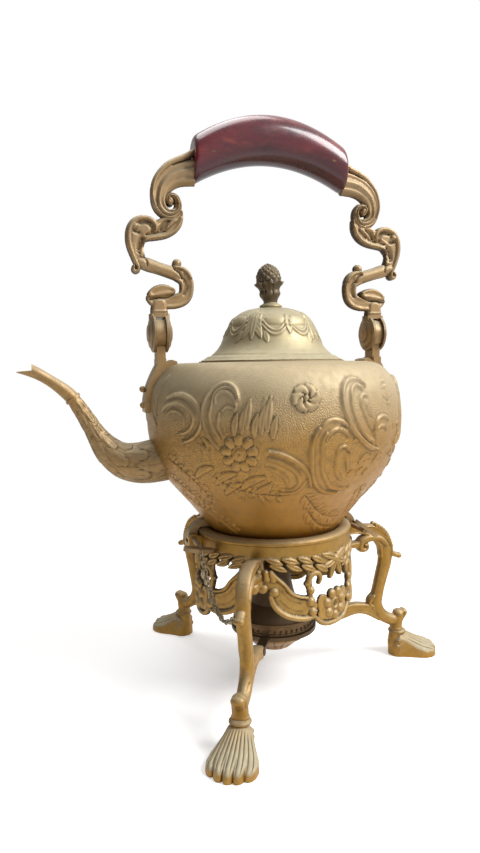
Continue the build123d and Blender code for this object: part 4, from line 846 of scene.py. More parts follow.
# The three large scrolls right of the middle with the sprigs between them
FRONT_SCROLLS = [
    ("ridge", 1.4, [(-88.8, 176.8, .8), (-86.4, 179.1, 1), (-83.6, 179.6, 1), (-80.6, 178.3, 1),
        (-78.1, 176, .7)]),
    ("ridge", 1.6, [(-90.2, 175, .7), (-91.8, 172, 1), (-93, 160, 1.2), (-92, 150, 1.2), (-89.5, 143, 1.2),
        (-85, 138.5, 1.1), (-77, 136.5, .8)]),
    ("ridge", 1.3, [(-87.3, 172.2, .7), (-88.9, 168, 1), (-88.8, 162.9, 1), (-88.5, 156.8, 1),
        (-87.3, 149.8, 1), (-84.9, 145.2, 1), (-82.4, 141.4, 1), (-76.9, 139.1, .9), (-70.8, 138.3, .7)]),
    ("ridge", 1.2, [(-87.3, 169.1, .8), (-85.5, 172.9, 1), (-82.4, 174.3, 1), (-79.3, 172.9, 1),
        (-77.5, 170.2, .7)]),
    ("ridge", 1.2, [(-75.4, 161, .7), (-77.2, 163.3, .9), (-79, 164.5, .9), (-80.9, 163.7, .9),
        (-81.8, 159.8, 1), (-81.5, 153.7, 1), (-80, 148.3, .9), (-77.5, 145.2, .7)]),
    ("ridge", 1.0, [(-77.2, 159.6, .7), (-76.3, 155.2, .9), (-75, 149.8, .7)]),
    ("flat", 0.6, [(-83.6, 176.6, 3), (-89.4, 171, 4), (-90.8, 160, 5), (-89.8, 150, 5), (-85.6, 142, 4.4),
        (-77, 138, 2.6)]),
    ("ridge", 1.6, [(-67.1, 197.5, .8), (-69.5, 200.2, 1), (-73.2, 201.4, 1.2), (-76.9, 199.8, 1.2),
        (-79.3, 196, 1.2), (-80.1, 190.6, 1.2), (-79.3, 184.5, 1.2), (-77.5, 178.3, 1.2),
        (-75.1, 172.9, 1.2), (-71.4, 168.3, 1.2), (-67.1, 164.1, 1.1), (-62.8, 161.4, 1), (-59.1, 161, .7)]),
    ("ridge", 1.3, [(-69.5, 196, .8), (-72, 197.7, 1), (-74.7, 196.4, 1), (-76, 192.2, 1), (-75.7, 186, 1),
        (-74.1, 179.8, 1), (-71.4, 173.7, 1), (-67.7, 168.3, 1), (-63.4, 165.6, .7)]),
    ("ridge", 1.2, [(-67.1, 191.8, .8), (-69.2, 192.5, .9), (-70.8, 190.6, .9), (-70.5, 186, .9),
        (-68.9, 181.4, .9), (-67.1, 176.8, .9), (-64.6, 172.9, .7)]),
    ("ridge", 0.9, [(-67.6, 188, .7), (-67.1, 184.5, .8), (-64.6, 180.2, .6)]),
    ("flat", 0.6, [(-69, 198.6, 2.6), (-75.6, 197, 4), (-78, 190, 4.6), (-76.6, 182, 4.6), (-72.6, 174, 4.4),
        (-66, 166, 3.4), (-60, 162.6, 2)]),
    ("ridge", 1.4, [(-63.2, 170, .7), (-62.2, 175.2, 1), (-61, 178.3, 1), (-58.5, 179.5, 1),
        (-54.8, 178.7, 1), (-52.4, 176.8, .7)]),
    ("ridge", 1.1, [(-61, 172.2, .8), (-58.5, 174.1, .9), (-56.1, 173.7, .9), (-53.6, 171.4, .7)]),
    ("flat", 0.5, [(-62, 171, 2), (-59, 177, 3.4), (-54, 176, 2.6)]),
    ("ridge", 0.9, [(-62.2, 169.1, .7), (-61, 164.5, .9), (-58, 160, .6)]),
    ("leaf", 0.9, [(-74.7, 166, .6), (-73.6, 167.4, 1.2), (-72.4, 166.4, .6)]),
    ("leaf", 0.9, [(-73.4, 147.3, 1.6), (-72.4, 148.5, 1.6)]),
    ("leaf", 0.9, [(-68.3, 148, 1.8), (-67.1, 149, 1.6)]),
    ("leaf", 0.9, [(-63.9, 147.1, 1.6), (-62.7, 148.1, 1.4)]),
    ("leaf", 1.0, [(-69.6, 153.8, .8), (-66.4, 156.8, 1.8), (-62.6, 156.4, .6)]),
    ("leaf", 1.0, [(-60, 153, .8), (-57, 156, 1.8), (-53.4, 155.4, .6)]),
    ("leaf", 0.9, [(-55.4, 196, .7), (-53.4, 196.6, 1.1), (-51.2, 196, .5)]),
    ("leaf", 0.9, [(-55.6, 191.6, .7), (-54.2, 190.6, 1.1), (-52.6, 189.4, .5)]),
    ("leaf", 0.9, [(-50.2, 190.4, .7), (-48.8, 191.4, 1.1), (-47.2, 192.6, .5)]),
    ("leaf", 0.9, [(-52.8, 186.9, .7), (-51, 186.6, 1.1), (-49, 186.2, .5)]),
    ("leaf", 0.9, [(-54, 199.9, .7), (-52.4, 199.6, 1.1), (-50.6, 199.2, .5)]),
    ("ridge", 0.7, [(-52, 184, .5), (-51.6, 190, .6), (-52.6, 196, .6), (-52.2, 201, .4)]),
]


# Stems of the low sprays as (azimuth, height)
STEMS = (
    ((-93, 136), (-84, 126), (-72, 119), (-58, 117)),
    ((-88, 124), (-79, 116), (-68, 111), (-56, 110)),
    ((-60, 137), (-54, 128), (-49, 118), (-46, 112)),
    ((-168, 132), (-159, 126), (-149, 118), (-140, 114)),
    ((-160, 156), (-152, 150), (-145, 141), (-141, 131)),
    ((-172, 148), (-163, 142), (-155, 135), (-147, 126)),
    ((-134, 148), (-126, 141), (-116, 138), (-104, 136)),
    ((-150, 122), (-146, 117), (-141, 112), (-136, 108)),
)


def engraved():
    """Low sprays: cut stems with small leaves that lean forward on both sides."""
    found = []
    for stem in STEMS:
        way = through([(a, z, 0.5) for a, z in stem], 13)
        found.append(("cut", 0.5, [tuple(p) for p in way[::3]]))
        ahead = np.gradient(way, axis=0)
        for i in range(0, 12):
            azimuth, z, _ = way[i]
            along, up = ahead[i, 0] * 1.25, ahead[i, 1]
            long = math.hypot(along, up)
            for side in (-1, 1):
                lean = 0.75 + 0.25 * math.sin(2.4 * i + side)
                dx = (along * lean - side * up * 1.1) / long
                dz = (up * lean + side * along * 1.1) / long
                reach = 3.2 + 0.8 * math.sin(1.7 * i)
                found.append(("leaf", 0.8, [(azimuth + 0.2 * dx, z + 0.3 * dz, 0.5),
                                            (azimuth + 0.5 * reach * dx, z + 0.6 * reach * dz, 1.25),
                                            (azimuth + reach * dx, z + 1.2 * reach * dz, 0.35)]))
    return found


def body_strokes(run_at):
    """All strokes of the near half, heights given as distances along the outline.

    What the camera can't see between -50 and 0 degrees mirrors the scrolls about -50 degrees, and a spray
    fills the space under the spout.
    """
    seen = LEFT_ARCS + plumes() + flowers() + CARTOUCHE + FRONT_SCROLLS + engraved()
    reflected = []
    for kind, high, points in FRONT_SCROLLS + engraved():
        places = [p[0] for p in points]
        if min(places) > -94 and max(places) < -53:
            reflected.append((kind, high, [(-100 - p[0], p[1], p[2]) for p in points]))
    fill = []
    for azimuth in (-166, -10):
        for k in range(5):
            z = 174 + 5.5 * k
            fill.append(("leaf", 0.9, [(azimuth, z, 0.9), (azimuth - 3 + 1.2 * k, z + 4, 2.2),
                                       (azimuth - 5 + 2 * k, z + 8.5, 0.8)]))
    return moved(seen + reflected + fill, lambda turn, z, wide: (turn, float(run_at(z)), wide))


def body_half(side):
    """One half of the body: outside with its chasing, inside wall, and both cut edges hidden by fittings.

    The outside is the outline turned through 180 degrees and moved along its normal by the stroke field.
    """
    outline = body_outline()
    run = run_of(outline)
    order = np.argsort(outline[:outline[:, 1].argmax() + 1, 1])

    def run_at(z):
        return np.interp(z, outline[order, 1], run[order])

    azimuths = np.linspace(-180, 0, 460)
    radius, z, along = outline[:, :1], outline[:, 1:], run[:, None]
    height = stroke_field(azimuths, run, outline[:, 0], body_strokes(run_at))
    height = height * sizes().kettle.chasing * BODY_RELIEF
    from_spout = np.hypot(np.radians(azimuths + 180) * radius, z - SPOUT_MIDDLE)
    near_spout = 1 - smooth_step(from_spout, 15.5, 19)
    from_bracket = np.minimum(np.abs(azimuths + 180), np.abs(azimuths)) * np.radians(radius)
    near_bracket = (1 - smooth_step(from_bracket, 7.6, 9.5)) * (z > BRACKET_LOW)
    rim = 1 - smooth_step(along, run[-1] - 24, run[-1] - 19)
    foot = smooth_step(along, 0.5, 4)
    height = height * (1 - near_spout) * (1 - near_bracket) * rim * foot
    wave = 0.12 * np.sin(np.radians(azimuths) * 23 + 1.3 * np.sin(along / 7)) * np.sin(along / 3.1)
    height = height + wave * rim * foot * 0.5
    # Old polish and painted shade in the chasing's hollows; painted shade on the inside wall
    shade_and_polish = 0.8 * hollows(height, 3, 0.3)
    plain = (azimuths > -137) & (azimuths < -92) & (z < 132)
    ground = (1 - smooth_step(np.abs(blurred(height, 2)), 0.15, 0.5)) * smooth_step(z, 132, 142)
    ground = np.where(plain, 0, ground) * (1 - 0.75 * smooth_step(z, 180, 198))
    inner = outline - outward(outline) * SHEET
    inner = np.vstack([inner[::-1][::16], inner[:1]])
    grid = pushed_out(outline, azimuths, height)
    inside = turned(inner, azimuths)
    section = np.concatenate([grid, inside, grid[:1]], axis=0)
    shade = np.concatenate([shade_and_polish, np.full(inside.shape[:2], 0.25), shade_and_polish[:1]])
    matte = np.concatenate([ground, np.zeros(inside.shape[:2]), ground[:1]])
    if side > 0:
        section = section * np.array([1, -1, 1])
    return section, shade, matte


class KETTLE_OT_body(Operator):
    """Builds the chased body in two halves"""

    bl_idname = "kettle.body"
    bl_label = "Body"

    def execute(self, context):
        for name, side in (("body_front", -1), ("body_back", 1)):
            section, shade, matte = body_half(side)
            Mould(name).add(section, wrap=False, shade=shade, ground=matte).make(
                "body brass", "kettle", "body_brass", ("kettle_shell",))
        repaint("fitting brass", "kettle_bottom", "front_bracket", "rear_bracket", "bracket_rivets",
                "front_kettle_lug", "rear_kettle_lug")
        return {"FINISHED"}


# The lid

def lid_outline():
    """The lid's outside from its edge up to the knob's seat."""
    edge = sizes().kettle.lid_radius / MM
    low = top_of("mouth_ring")
    rise = top_of("lid_dome") - low
    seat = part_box("finial_plate")[1][0] / MM
    shares = ((0.87, 0.068), (0.76, 0.177), (0.673, 0.347), (0.626, 0.5), (0.572, 0.653), (0.504, 0.806),
              (0.405, 0.912), (0.25, 0.985))
    return [(edge - 2.4, low + 0.5)] + [(edge * r, low + rise * h) for r, h in shares] + [(seat, low + rise)]


def lid_strokes(run_at):
    """Four times round: a veined leaf, two hanging swags of double lines and a petal."""
    strokes = []
    for quarter in range(-3, 4):
        centre = -131 + 90 * quarter
        for side in (-1, 1):
            for k in range(4):
                strokes.append(("leaf", 0.8, [(centre + 1.2 * side, 241.5 - 3.2 * k, 1.0),
                                              (centre + side * (4.6 + 1.0 * k), 240.6 - 3.6 * k, 2.2),
                                              (centre + side * (6.6 + 1.6 * k), 237.6 - 3.9 * k, 0.7)]))
            for drop in (0.0, 2.6):
                swag = ((12, 236.5, .7), (20, 232.2, .8), (27, 230.6, .8), (34, 232.0, .8), (42, 236.3, .7))
                strokes.append(("ridge", 0.75, [(centre + side * a, z - drop, wide) for a, z, wide in swag]))
            strokes.append(("lobe", 0.8, [(centre + side * 22, 237.2, 3.6),
                                          (centre + side * 33, 237.4, 3.8)]))
            strokes.append(("leaf", 0.7, [(centre + side * 15, 229.5, 1), (centre + side * 17, 226.4, 2.0),
                                          (centre + side * 18.5, 223.6, .7)]))
        strokes.append(("leaf", 1.0, [(centre, 242, 1.4), (centre, 233, 2.6), (centre, 225.5, 0.8)]))
        strokes.append(("leaf", 0.8, [(centre + 45, 240, 1), (centre + 45, 234, 2.4),
                                      (centre + 45, 229, 0.7)]))
    return moved(strokes, lambda turn, z, wide: (turn, float(run_at(z)), wide))


def lid_surface():
    """The lid's chased outside and plain underside, with its shade.

    The outline is turned all round and moved along its normal by the stroke field and by two lines above the
    edge, 0.35*exp(-((z - bead)/0.7)^2) - 0.25*exp(-((z - groove)/0.5)^2). Both fade at the edge and at the
    knob's seat. The underside is the outline moved in by 1 mm and turned.
    """
    outline = through(lid_outline(), 120)
    run = run_of(outline)

    def run_at(z):
        return np.interp(z, outline[:, 1], run)

    azimuths = np.linspace(-180, 180, 460, endpoint=False)
    height = stroke_field(azimuths, run, outline[:, 0], lid_strokes(run_at))
    height = height * sizes().kettle.chasing * BODY_RELIEF
    band = 0.35 * np.exp(-((outline[:, 1] - LID_BEAD) / 0.7) ** 2)
    band = band - 0.25 * np.exp(-((outline[:, 1] - LID_GROOVE) / 0.5) ** 2)
    fade = smooth_step(run, 0.3, 2.0) * (1 - smooth_step(run, run[-1] - 4, run[-1] - 1))
    height = (height + band[:, None]) * fade[:, None]
    grid = pushed_out(outline, azimuths, height)
    low, top = outline[0, 1] - 0.5, outline[-1, 1]
    under = [(1.7, top), (1.7, top - 1.0), (outline[-1, 0] - 1, top - 1.0)]
    inner = (outline - outward(outline))[::-1][6::8]
    under += [tuple(p) for p in inner if p[1] > low + 0.6 and p[0] < 41]
    under += [(41.2, low + 0.12), (outline[0, 0], low + 0.12), tuple(outline[0])]
    lower = turned(np.array(under), azimuths)
    whole = np.concatenate([grid, lower], axis=0)
    shade = np.concatenate([0.6 * hollows(height), np.full(lower.shape[:2], 0.3)])
    return whole, shade


class KETTLE_OT_lid(Operator):
    """Builds the chased lid over its skirt"""

    bl_idname = "kettle.lid"
    bl_label = "Lid"

    def execute(self, context):
        whole, shade = lid_surface()
        Mould("lid_chased").add(whole, shade=shade).make(
            "lid brass", "lid", "body_brass", ("lid_dome",))
        repaint("fitting brass", "lid_skirt", "finial_stud", "finial_nut")
        repaint("body brass", "mouth_ring")
        return {"FINISHED"}


# The spout

def spout_way():
    """(x, z, radius) down the spout from inside the body to the collar."""
    s = sizes().kettle
    root = s.spout_radius / MM
    x = -s.belly_radius / MM + 7.2
    z = top_of("kettle_bottom") + 46.0
    return [(x + 9.0, z + 1.4, root), (x, z, root), (x - 11.5, z - 1.4, 0.93 * root),
            (x - 23.5, z + 1.0, 0.80 * root), (x - 32.0, z + 7.4, 0.63 * root),
            (x - 40.0, z + 19.2, 0.41 * root), (x - 48.0, z + 33.2, 0.32 * root),
            (x - 52.2, z + 39.8, 0.30 * root)]


# Rows of leaves up the spout: where each starts, how long its leaves are and their half width
SPOUT_ROWS = ((9.0, 15.0, 4.6), (21.0, 13.0, 3.6), (33.0, 12.0, 2.8), (44.0, 11.0, 2.3), (54.0, 10.0, 2.0),
              (63.0, 9.5, 1.8), (71.5, 9.0, 1.6), (80.0, 8.0, 1.4))


def spout_strokes():
    """Rows of leaves that lap up the spout from its root, each leaf between two fine ridges."""
    strokes = []
    for k in range(-5, 10):
        for row, (start, reach, wide) in enumerate(SPOUT_ROWS):
            azimuth = 60 * k + 30 * row
            strokes.append(("leaf", 0.95 - 0.06 * row, [(azimuth, start, wide),
                                                        (azimuth, start + 0.55 * reach, 0.85 * wide),
                                                        (azimuth, start + reach, 0.5)]))
            for side in (-1, 1):
                strokes.append(("ridge", 0.5, [(azimuth + side * (26 - 4 * row), start + 1, .6),
                                               (azimuth + side * 16, start + 0.6 * reach, .7),
                                               (azimuth, start + reach + 1, .6)]))
    return strokes


def spout_surface():
    """The chased spout, a round tube along its smooth line, with its shade.

    The tube's radius is the line's own plus the stroke field. Each of its long lines starts where it leaves
    the body and is divided evenly from there to the tip. The inside is the outside moved towards the tube's
    middle by the thickness of the sheet.
    """
    rows = 150
    way = through(spout_way(), rows)
    run = run_of(way[:, :2])
    along = np.gradient(way[:, :2], axis=0)
    along /= np.linalg.norm(along, axis=1)[:, None]
    azimuths = np.linspace(-180, 180, 120, endpoint=False)
    height = stroke_field(azimuths, run, way[:, 2], spout_strokes())
    height = height * sizes().kettle.chasing * SPOUT_RELIEF
    height *= (1 - smooth_step(run, run[-1] - 4, run[-1] - 1))[:, None]
    angle = np.radians(azimuths)[None, :]
    bulge = way[:, 2][:, None] + height
    side_x, side_z = -along[:, 1][:, None], along[:, 0][:, None]
    x = way[:, 0][:, None] - bulge * np.sin(angle) * side_x
    z = way[:, 1][:, None] - bulge * np.sin(angle) * side_z
    y = bulge * np.cos(angle) + 0 * x
    grid = np.stack([x, y, z], axis=-1)
    outline = body_outline()
    shell = np.interp(grid[..., 2], outline[:120, 1], outline[:120, 0]) - 0.5
    outside = np.hypot(grid[..., 0], grid[..., 1]) > shell
    first = np.argmax(outside, axis=0)
    share = np.linspace(0, 1, rows)[:, None]
    picks = first[None, :] + share * (rows - 1 - first[None, :])
    low = np.floor(picks).astype(int).clip(0, rows - 2)
    part = (picks - low)[..., None]
    cols = np.arange(len(azimuths))[None, :]
    outer = grid[low, cols] * (1 - part) + grid[low + 1, cols] * part
    shade = hollows(height)[low, cols]
    centre = np.stack([way[:, 0], 0 * way[:, 0], way[:, 1]], axis=-1)
    mid = centre[low] * (1 - part) + centre[low + 1] * part
    wall = SHEET / np.maximum(np.linalg.norm(outer - mid, axis=-1, keepdims=True), 2.0)
    inner = outer + (mid - outer) * wall
    whole = np.concatenate([outer, inner[::-1], outer[:1]], axis=0)
    shade = np.concatenate([shade, np.zeros_like(shade), shade[:1]])
    return whole, shade


class KETTLE_OT_spout(Operator):
    """Builds the chased lower spout"""

    bl_idname = "kettle.spout"
    bl_label = "Spout"

    def execute(self, context):
        whole, shade = spout_surface()
        Mould("spout_chased").add(whole, shade=shade).make(
            "spout brass", "kettle", "body_brass", ("spout",))
        repaint("spout brass", "spout_collar", "spout_tip")
        return {"FINISHED"}


# The handle

def place_arm(grid, middle_x, hinge_z):
    """Arm coordinates, outwards and up from the hinge, in the kettle's frame; a negative middle mirrors."""
    side = 1 if middle_x > 0 else -1
    return np.stack([side * (abs(middle_x) + grid[..., 0]), grid[..., 1], hinge_z + grid[..., 2]], axis=-1)


def ring_of(x, z, reach, wide, count=9):
    """A closed round stroke about a point."""
    turns = np.linspace(0, 2 * np.pi, count)
    return [(x + reach * math.cos(t), z + reach * math.sin(t), wide) for t in turns]


# Strokes of the arm over (distance out from the hinge, height above it)
ARM_STROKES = (
    # the fluted horn and its curl
    ("flute", 4.6, ((-25, 98.6, 8.4), (-20, 98.2, 8.2), (-14, 97, 7.8), (-8, 93.8, 7), (-3.4, 88.6, 6.2),
        (-1.6, 82.8, 5.4), (-1.8, 77.2, 4.6), (-4.8, 73.4, 3.8), (-9, 72.4, 3.2), (-12.4, 74.8, 2.8),
        (-13.2, 79.2, 2.4), (-11.2, 83, 2.1), (-8.4, 83.4, 1.9), (-7, 81, 1.8), (-8.4, 78.8, 1.7))),
    ("lobe", 4.7, ((-24.8, 112, 1.5), (-19.5, 107.8, 2.2), (-14, 105, 2.4), (-8, 102, 2.3), (-3.4, 98, 2),
        (.2, 93, 1.7), (2, 87.5, 1.5), (2.3, 82, 1.3), (.8, 76.6, 1.2))),
    ("cut", 0.9, ((-24.8, 107, .7), (-18, 104.6, .6), (-10, 101.2, .5))),
    ("ridge", 0.5, ((-24, 96.6, 1.2), (-15, 95.2, 1.2), (-8, 91.2, 1.1), (-4.4, 85.6, 1), (-3.8, 79.4, .9),
        (-6, 75.4, .8), (-9.4, 74.8, .7))),
    ("lobe", 5.0, ((-9, 80, 1.9), (-8.2, 81, 1.9))),
    ("cut", 1.4, ((-10.4, 76.6, .9), (-11.6, 79, .9), (-10.4, 81.2, .8))),
    # the leaf under the curl
    ("dish", 4.5, ((-13.8, 73.5, 2.4), (-12.4, 68.6, 3.6), (-8.6, 65, 4.8), (-2, 62.2, 5), (4, 60, 3.8),
        (8.4, 57.4, 2.4), (9.6, 54, 1.5))),
    ("flat", 3.3, ((-8, 69, 3), (-3, 66.6, 3.4), (2, 64, 3.6))),
    ("ridge", 0.8, ((-14.6, 70, .9), (-11.4, 63.4, 1.1), (-4, 58.8, 1.1), (4, 57.6, 1), (8.6, 54.6, .8))),
    ("cut", 2.0, ((-7, 68, .8), (-3.8, 66, 1.4), (-1.8, 62.6, .8))),
    ("cut", 1.3, ((7, 59.4, .6), (1.6, 60.6, .9), (-4.6, 62, .7))),
    ("lobe", 4.8, ((-11, 68.4, 1.5), (-8, 66.4, 1.9), (-5.8, 63.8, 1.2))),
    # the upper scroll: a sunk web inside a raised roll
    ("flat", 3.1, ((4.6, 63.6, 3.8), (9, 63.4, 5.4), (12, 58, 5.4), (12.4, 52, 3.9), (11.4, 46, 3.4))),
    ("lobe", 4.5, ((1, 61.4, 1.3), (.9, 65, 1.7), (3, 68, 1.9), (7.5, 69.4, 2), (12.5, 68.2, 2.2),
        (16, 64.4, 2.3), (17.4, 59, 2.3), (16.9, 52.6, 2.2), (15, 46.6, 1.9), (13, 41.8, 1.7),
        (12.2, 39, 1.5), (13.5, 37.3, 1.4), (15.1, 38.2, 1.3), (14.9, 40.6, 1.1))),
    ("cut", 1.5, ((10.4, 66.2, .9), (5.2, 66.4, 1.2), (3.3, 64, 1.2), (3.4, 60.8, .8))),
    ("lobe", 4.9, ((13.2, 64.4, 2.2), (14, 63.8, 2.2))),
    ("cut", 1.6, ((13.8, 61.2, .9), (11.8, 60.8, 1.2))),
    ("cut", 2.2, ((9.6, 57, 1.3), (10.8, 53.6, 1.6), (11.8, 50.6, 1))),
    ("ridge", 0.9, ((7.2, 56, .7), (8, 51.4, .9), (8.4, 47.6, .8))),
    ("lobe", 4.7, ((9.9, 47, 2), (10.1, 47.2, 2))),
    ("cut", 0.9, tuple(ring_of(10.0, 47.1, 1.0, 0.4))),
    ("cut", 1.0, ((12.6, 49.2, .5), (7.6, 44.2, .6), (7, 41, .4))),
    # the round bar, its ball and the lip over its lower end
    ("lobe", 4.2, ((11.4, 43.4, 3.2), (8, 42.4, 4.1), (2, 40.6, 4), (-6, 38.2, 4), (-13, 36.2, 4.4))),
    ("lobe", 4.2, ((-11.8, 43, 2.9), (-11.6, 42.4, 2.9))),
    ("lobe", 3.4, ((-12.4, 41, 1.6), (-15.4, 39.2, 1.2))),
    ("lobe", 4.8, ((-10, 40.6, 1.2), (-14, 40, 1.6), (-18, 37.6, 1.7), (-20, 34.2, 1.3))),
    ("cut", 1.5, ((-9.8, 38.8, .5), (-12.6, 37, .8), (-14.4, 33.8, .6))),
    # the lower scroll and the pale oval of its leaf
    ("dish", 4.4, ((-12.4, 36, 4.2), (-16.6, 33.4, 4.5), (-17.6, 28, 4.4), (-16, 22.6, 4.4),
        (-10.5, 20, 4.6), (-3, 19.6, 4.5), (2.5, 20.2, 4), (5.6, 21.6, 2.4))),
    ("cut", 1.2, ((-15.4, 33.6, .8), (-17.2, 28.6, 1.2), (-15.4, 24.2, .7))),
    ("flat", 5.0, ((5, 24, 2.2), (1.4, 25.6, 3.6), (-3.4, 26.4, 3.7), (-8, 26, 2.4))),
    ("cut", 0.8, ((3.6, 24.8, 1.4), (.4, 26, 2.4), (-4, 26.7, 2.2), (-7.4, 26.4, 1.2))),
    ("cut", 1.3, ((6, 20.6, .4), (.4, 21.4, .6), (-5.6, 22.2, .6), (-10.6, 24.6, .5))),
    # the neck over the fork
    ("flat", 4.2, ((0, 17.4, 4.9), (0, 13, 5.4), (0, 8, 5.8))),
    ("ridge", 0.5, ((-5, 13.6, .5), (0, 13.6, .5), (5, 13.6, .5))),
)


def cheek_grid(sign, radius):
    """A domed disc of the fork, turned about the hinge's axis.

    At share t of the radius the face stands out by 1.5 + 3.3*(1 - t^2), stepped by two small ledges.
    """
    share = np.concatenate([np.linspace(0, 1, 30), [1.0]])
    stand = 1.5 + 3.3 * (1 - share ** 2)
    ledge = 0.28 * (np.exp(-((share - 0.42) / 0.05) ** 2) + np.exp(-((share - 0.74) / 0.045) ** 2))
    groove = 0.3 * (np.exp(-((share - 0.5) / 0.05) ** 2) + np.exp(-((share - 0.82) / 0.045) ** 2))
    stand = stand + ledge - groove
    stand[-1] = 0
    turn = np.linspace(0, 2 * np.pi, 56, endpoint=False)[None, :]
    r = (share * radius)[:, None]
    x = sign * (3.0 + stand[:, None] + 0 * turn)
    shade = 0.45 * np.clip(groove / 0.3, 0, 1)
    shade[-2:] = 0.3
    back = np.stack([np.full((1, 56), sign * 3.0), 0 * turn, 0 * turn], axis=-1)
    grid = np.concatenate([np.stack([x, r * np.cos(turn), r * np.sin(turn)], axis=-1), back], axis=0)
    return grid, np.concatenate([shade, [0.3]])[:, None]


def arm_mould(name, middle_x):
    """One arm of the handle: a flat casting with both faces, two cheeks and two struts of the fork.

    The cast faces are y = -t and y = +t, t being the relief scaled by the arm's thickness.
    """
    s = sizes().handle
    hinge_z = (foot_of("front_hinge_pin") + top_of("front_hinge_pin")) / 2
    thick = s.arm_thickness / MM / 8.6
    mould = Mould(name)
    x, z, half, keep, shade = casting((-26, 21), (9, 115), 0.42, ARM_STROKES)
    keep &= x[:-1, :-1] > -24.2
    keep &= z[:-1, :-1] > 9.5
    front = place_arm(np.stack([x, -half * thick, z], axis=-1), middle_x, hinge_z)
    back = place_arm(np.stack([x, half * thick, z], axis=-1), middle_x, hinge_z)
    mould.add_faces(front, back, keep, shade)
    for sign in (-1, 1):
        grid, shade = cheek_grid(sign, s.cheek_radius / MM)
        mould.add(place_arm(grid, middle_x, hinge_z), shade=shade)
        strut = ((sign * 4.6, 12.0, 1.6, 4.2), (sign * 4.6, 8.4, 1.6, 4.6), (sign * 4.4, 5.0, 1.3, 5.6))
        grid, shade = swept_bar(strut, 12, 24, 0.6)
        mould.add(place_arm(grid, middle_x, hinge_z), shade=0.4 * shade)
    return mould


class KETTLE_OT_arms(Operator):
    """Builds the two cast scroll arms"""

    bl_idname = "kettle.arms"
    bl_label = "Handle arms"

    def execute(self, context):
        middle = sizes().handle.hinge_x / MM
        for name, x in (("rear_arm", middle), ("front_arm", -middle)):
            arm_mould(name + "_cast", x).make("handle brass", "handle", "handle_brass", (name,))
        repaint("fitting brass", "rear_hinge_pin", "front_hinge_pin")
        repaint("smoked brass", "grip_pins")
        return {"FINISHED"}


def grip_surface():
    """The grip: an ellipse carried along a bow, with rounded ends.

    At the share a of the half length the ellipse is depth - 1.8*a^2 high and width - 1.6*a^2 wide, and its
    top is bow*a^2 below the middle's. Within 2.2 mm of an end both shrink by up to 0.16 as a quarter circle.
    """
    s = sizes().handle
    half = s.grip_half / MM
    top = top_of("grip")
    rounded = -1 + 0.03 * (1 - np.cos(np.linspace(0, np.pi / 2, 8)))
    share = np.concatenate([[-1.0], rounded, np.linspace(-0.95, 0.95, 60)])
    share = np.concatenate([share, -share[:9][::-1]])
    edge = np.clip((1 - np.abs(share)) * half / 2.2, 0, 1)
    round_off = 1 - 0.16 * (1 - np.sqrt(np.clip(1 - (1 - edge) ** 2, 0, 1)))
    tall = (s.grip_depth / MM - 1.8 * share ** 2) / 2 * round_off
    wide = (s.grip_width / MM / 2 - 0.8 * share ** 2) * round_off
    middle = top - s.grip_bow / MM * share ** 2 - (s.grip_depth / MM - 1.8 * share ** 2) / 2
    turn = np.linspace(0, 2 * np.pi, 72, endpoint=False)[None, :]
    grid = np.stack([half * share[:, None] + 0 * turn, wide[:, None] * np.cos(turn),
                     middle[:, None] + tall[:, None] * np.sin(turn)], axis=-1)
    caps = []
    for end in (0, -1):
        caps.append(np.stack([half * share[end] + 0 * turn, 0 * turn, middle[end] + 0 * turn], axis=-1))
    return np.concatenate([caps[0], grid, caps[1]], axis=0)


class KETTLE_OT_grip(Operator):
    """Builds the bowed grip with rounded ends"""

    bl_idname = "kettle.grip"
    bl_label = "Grip"

    def execute(self, context):
        Mould("grip_polished").add(grip_surface()).make("grip horn", "handle", "grip", ("grip",))
        return {"FINISHED"}


# The knob

def leaned(grid, base_z):
    """The grid tipped about the knob's foot towards the spout."""
    c, s = math.cos(math.radians(-KNOB_LEAN)), math.sin(math.radians(-KNOB_LEAN))
    x, y, z = grid[..., 0], grid[..., 1], grid[..., 2] - base_z
    return np.stack([c * x + s * z, y, -s * x + c * z + base_z], axis=-1)


def cup_surface(base, r):
    """The leaf cup: an outline turned round, with eight leaves and a plain inside, and its shade.

    With lobe = |sin 4q| at azimuth q, the radius grows by 0.7*(sqrt(lobe) - 0.5) mm less a vein of
    0.5*exp(-((lobe - 1)/0.12)^2) mm. Between the leaves the rim drops by 1.8*(1 - lobe) mm.
    """
    cup = through([(4.4, base), (4.9, base + 2.0), (r - 1.2, base + 5.5), (r - 1.5, base + 7.8),
                   (r + 0.4, base + 11.0), (r + 1.7, base + 13.0)], 50)
    inner = np.array([(r + 0.9, base + 13.0), (r - 0.4, base + 10.2), (3.0, base + 7.4),
                      (0.01, base + 7.2)])
    azimuths = np.linspace(-180, 180, 128, endpoint=False)
    lobe = np.abs(np.sin(np.radians(azimuths) * 4))
    share = np.linspace(0, 1, 50)[:, None]
    petal = 0.7 * (lobe[None, :] ** 0.5 - 0.5) * smooth_step(share, 0.1, 0.5)
    vein = 0.5 * np.exp(-((lobe[None, :] - 1) / 0.12) ** 2) * smooth_step(share, 0.4, 0.7)
    swell = petal - vein
    outer = turned(cup, azimuths)
    outer[..., :2] *= 1 + swell[..., None] / cup[:, 0][:, None, None]
    outer[..., 2] -= 1.8 * (1 - lobe[None, :]) * smooth_step(share, 0.75, 1.0)
    bowl = turned(inner, azimuths)
    foot = turned(np.array([(0.01, base), (4.4, base)]), azimuths)
    whole = np.concatenate([foot, outer, bowl], axis=0)
    shade = np.concatenate([np.zeros((2, 128)), hollows(swell, 4, 0.25), np.full((4, 128), 0.6)])
    return whole, shade


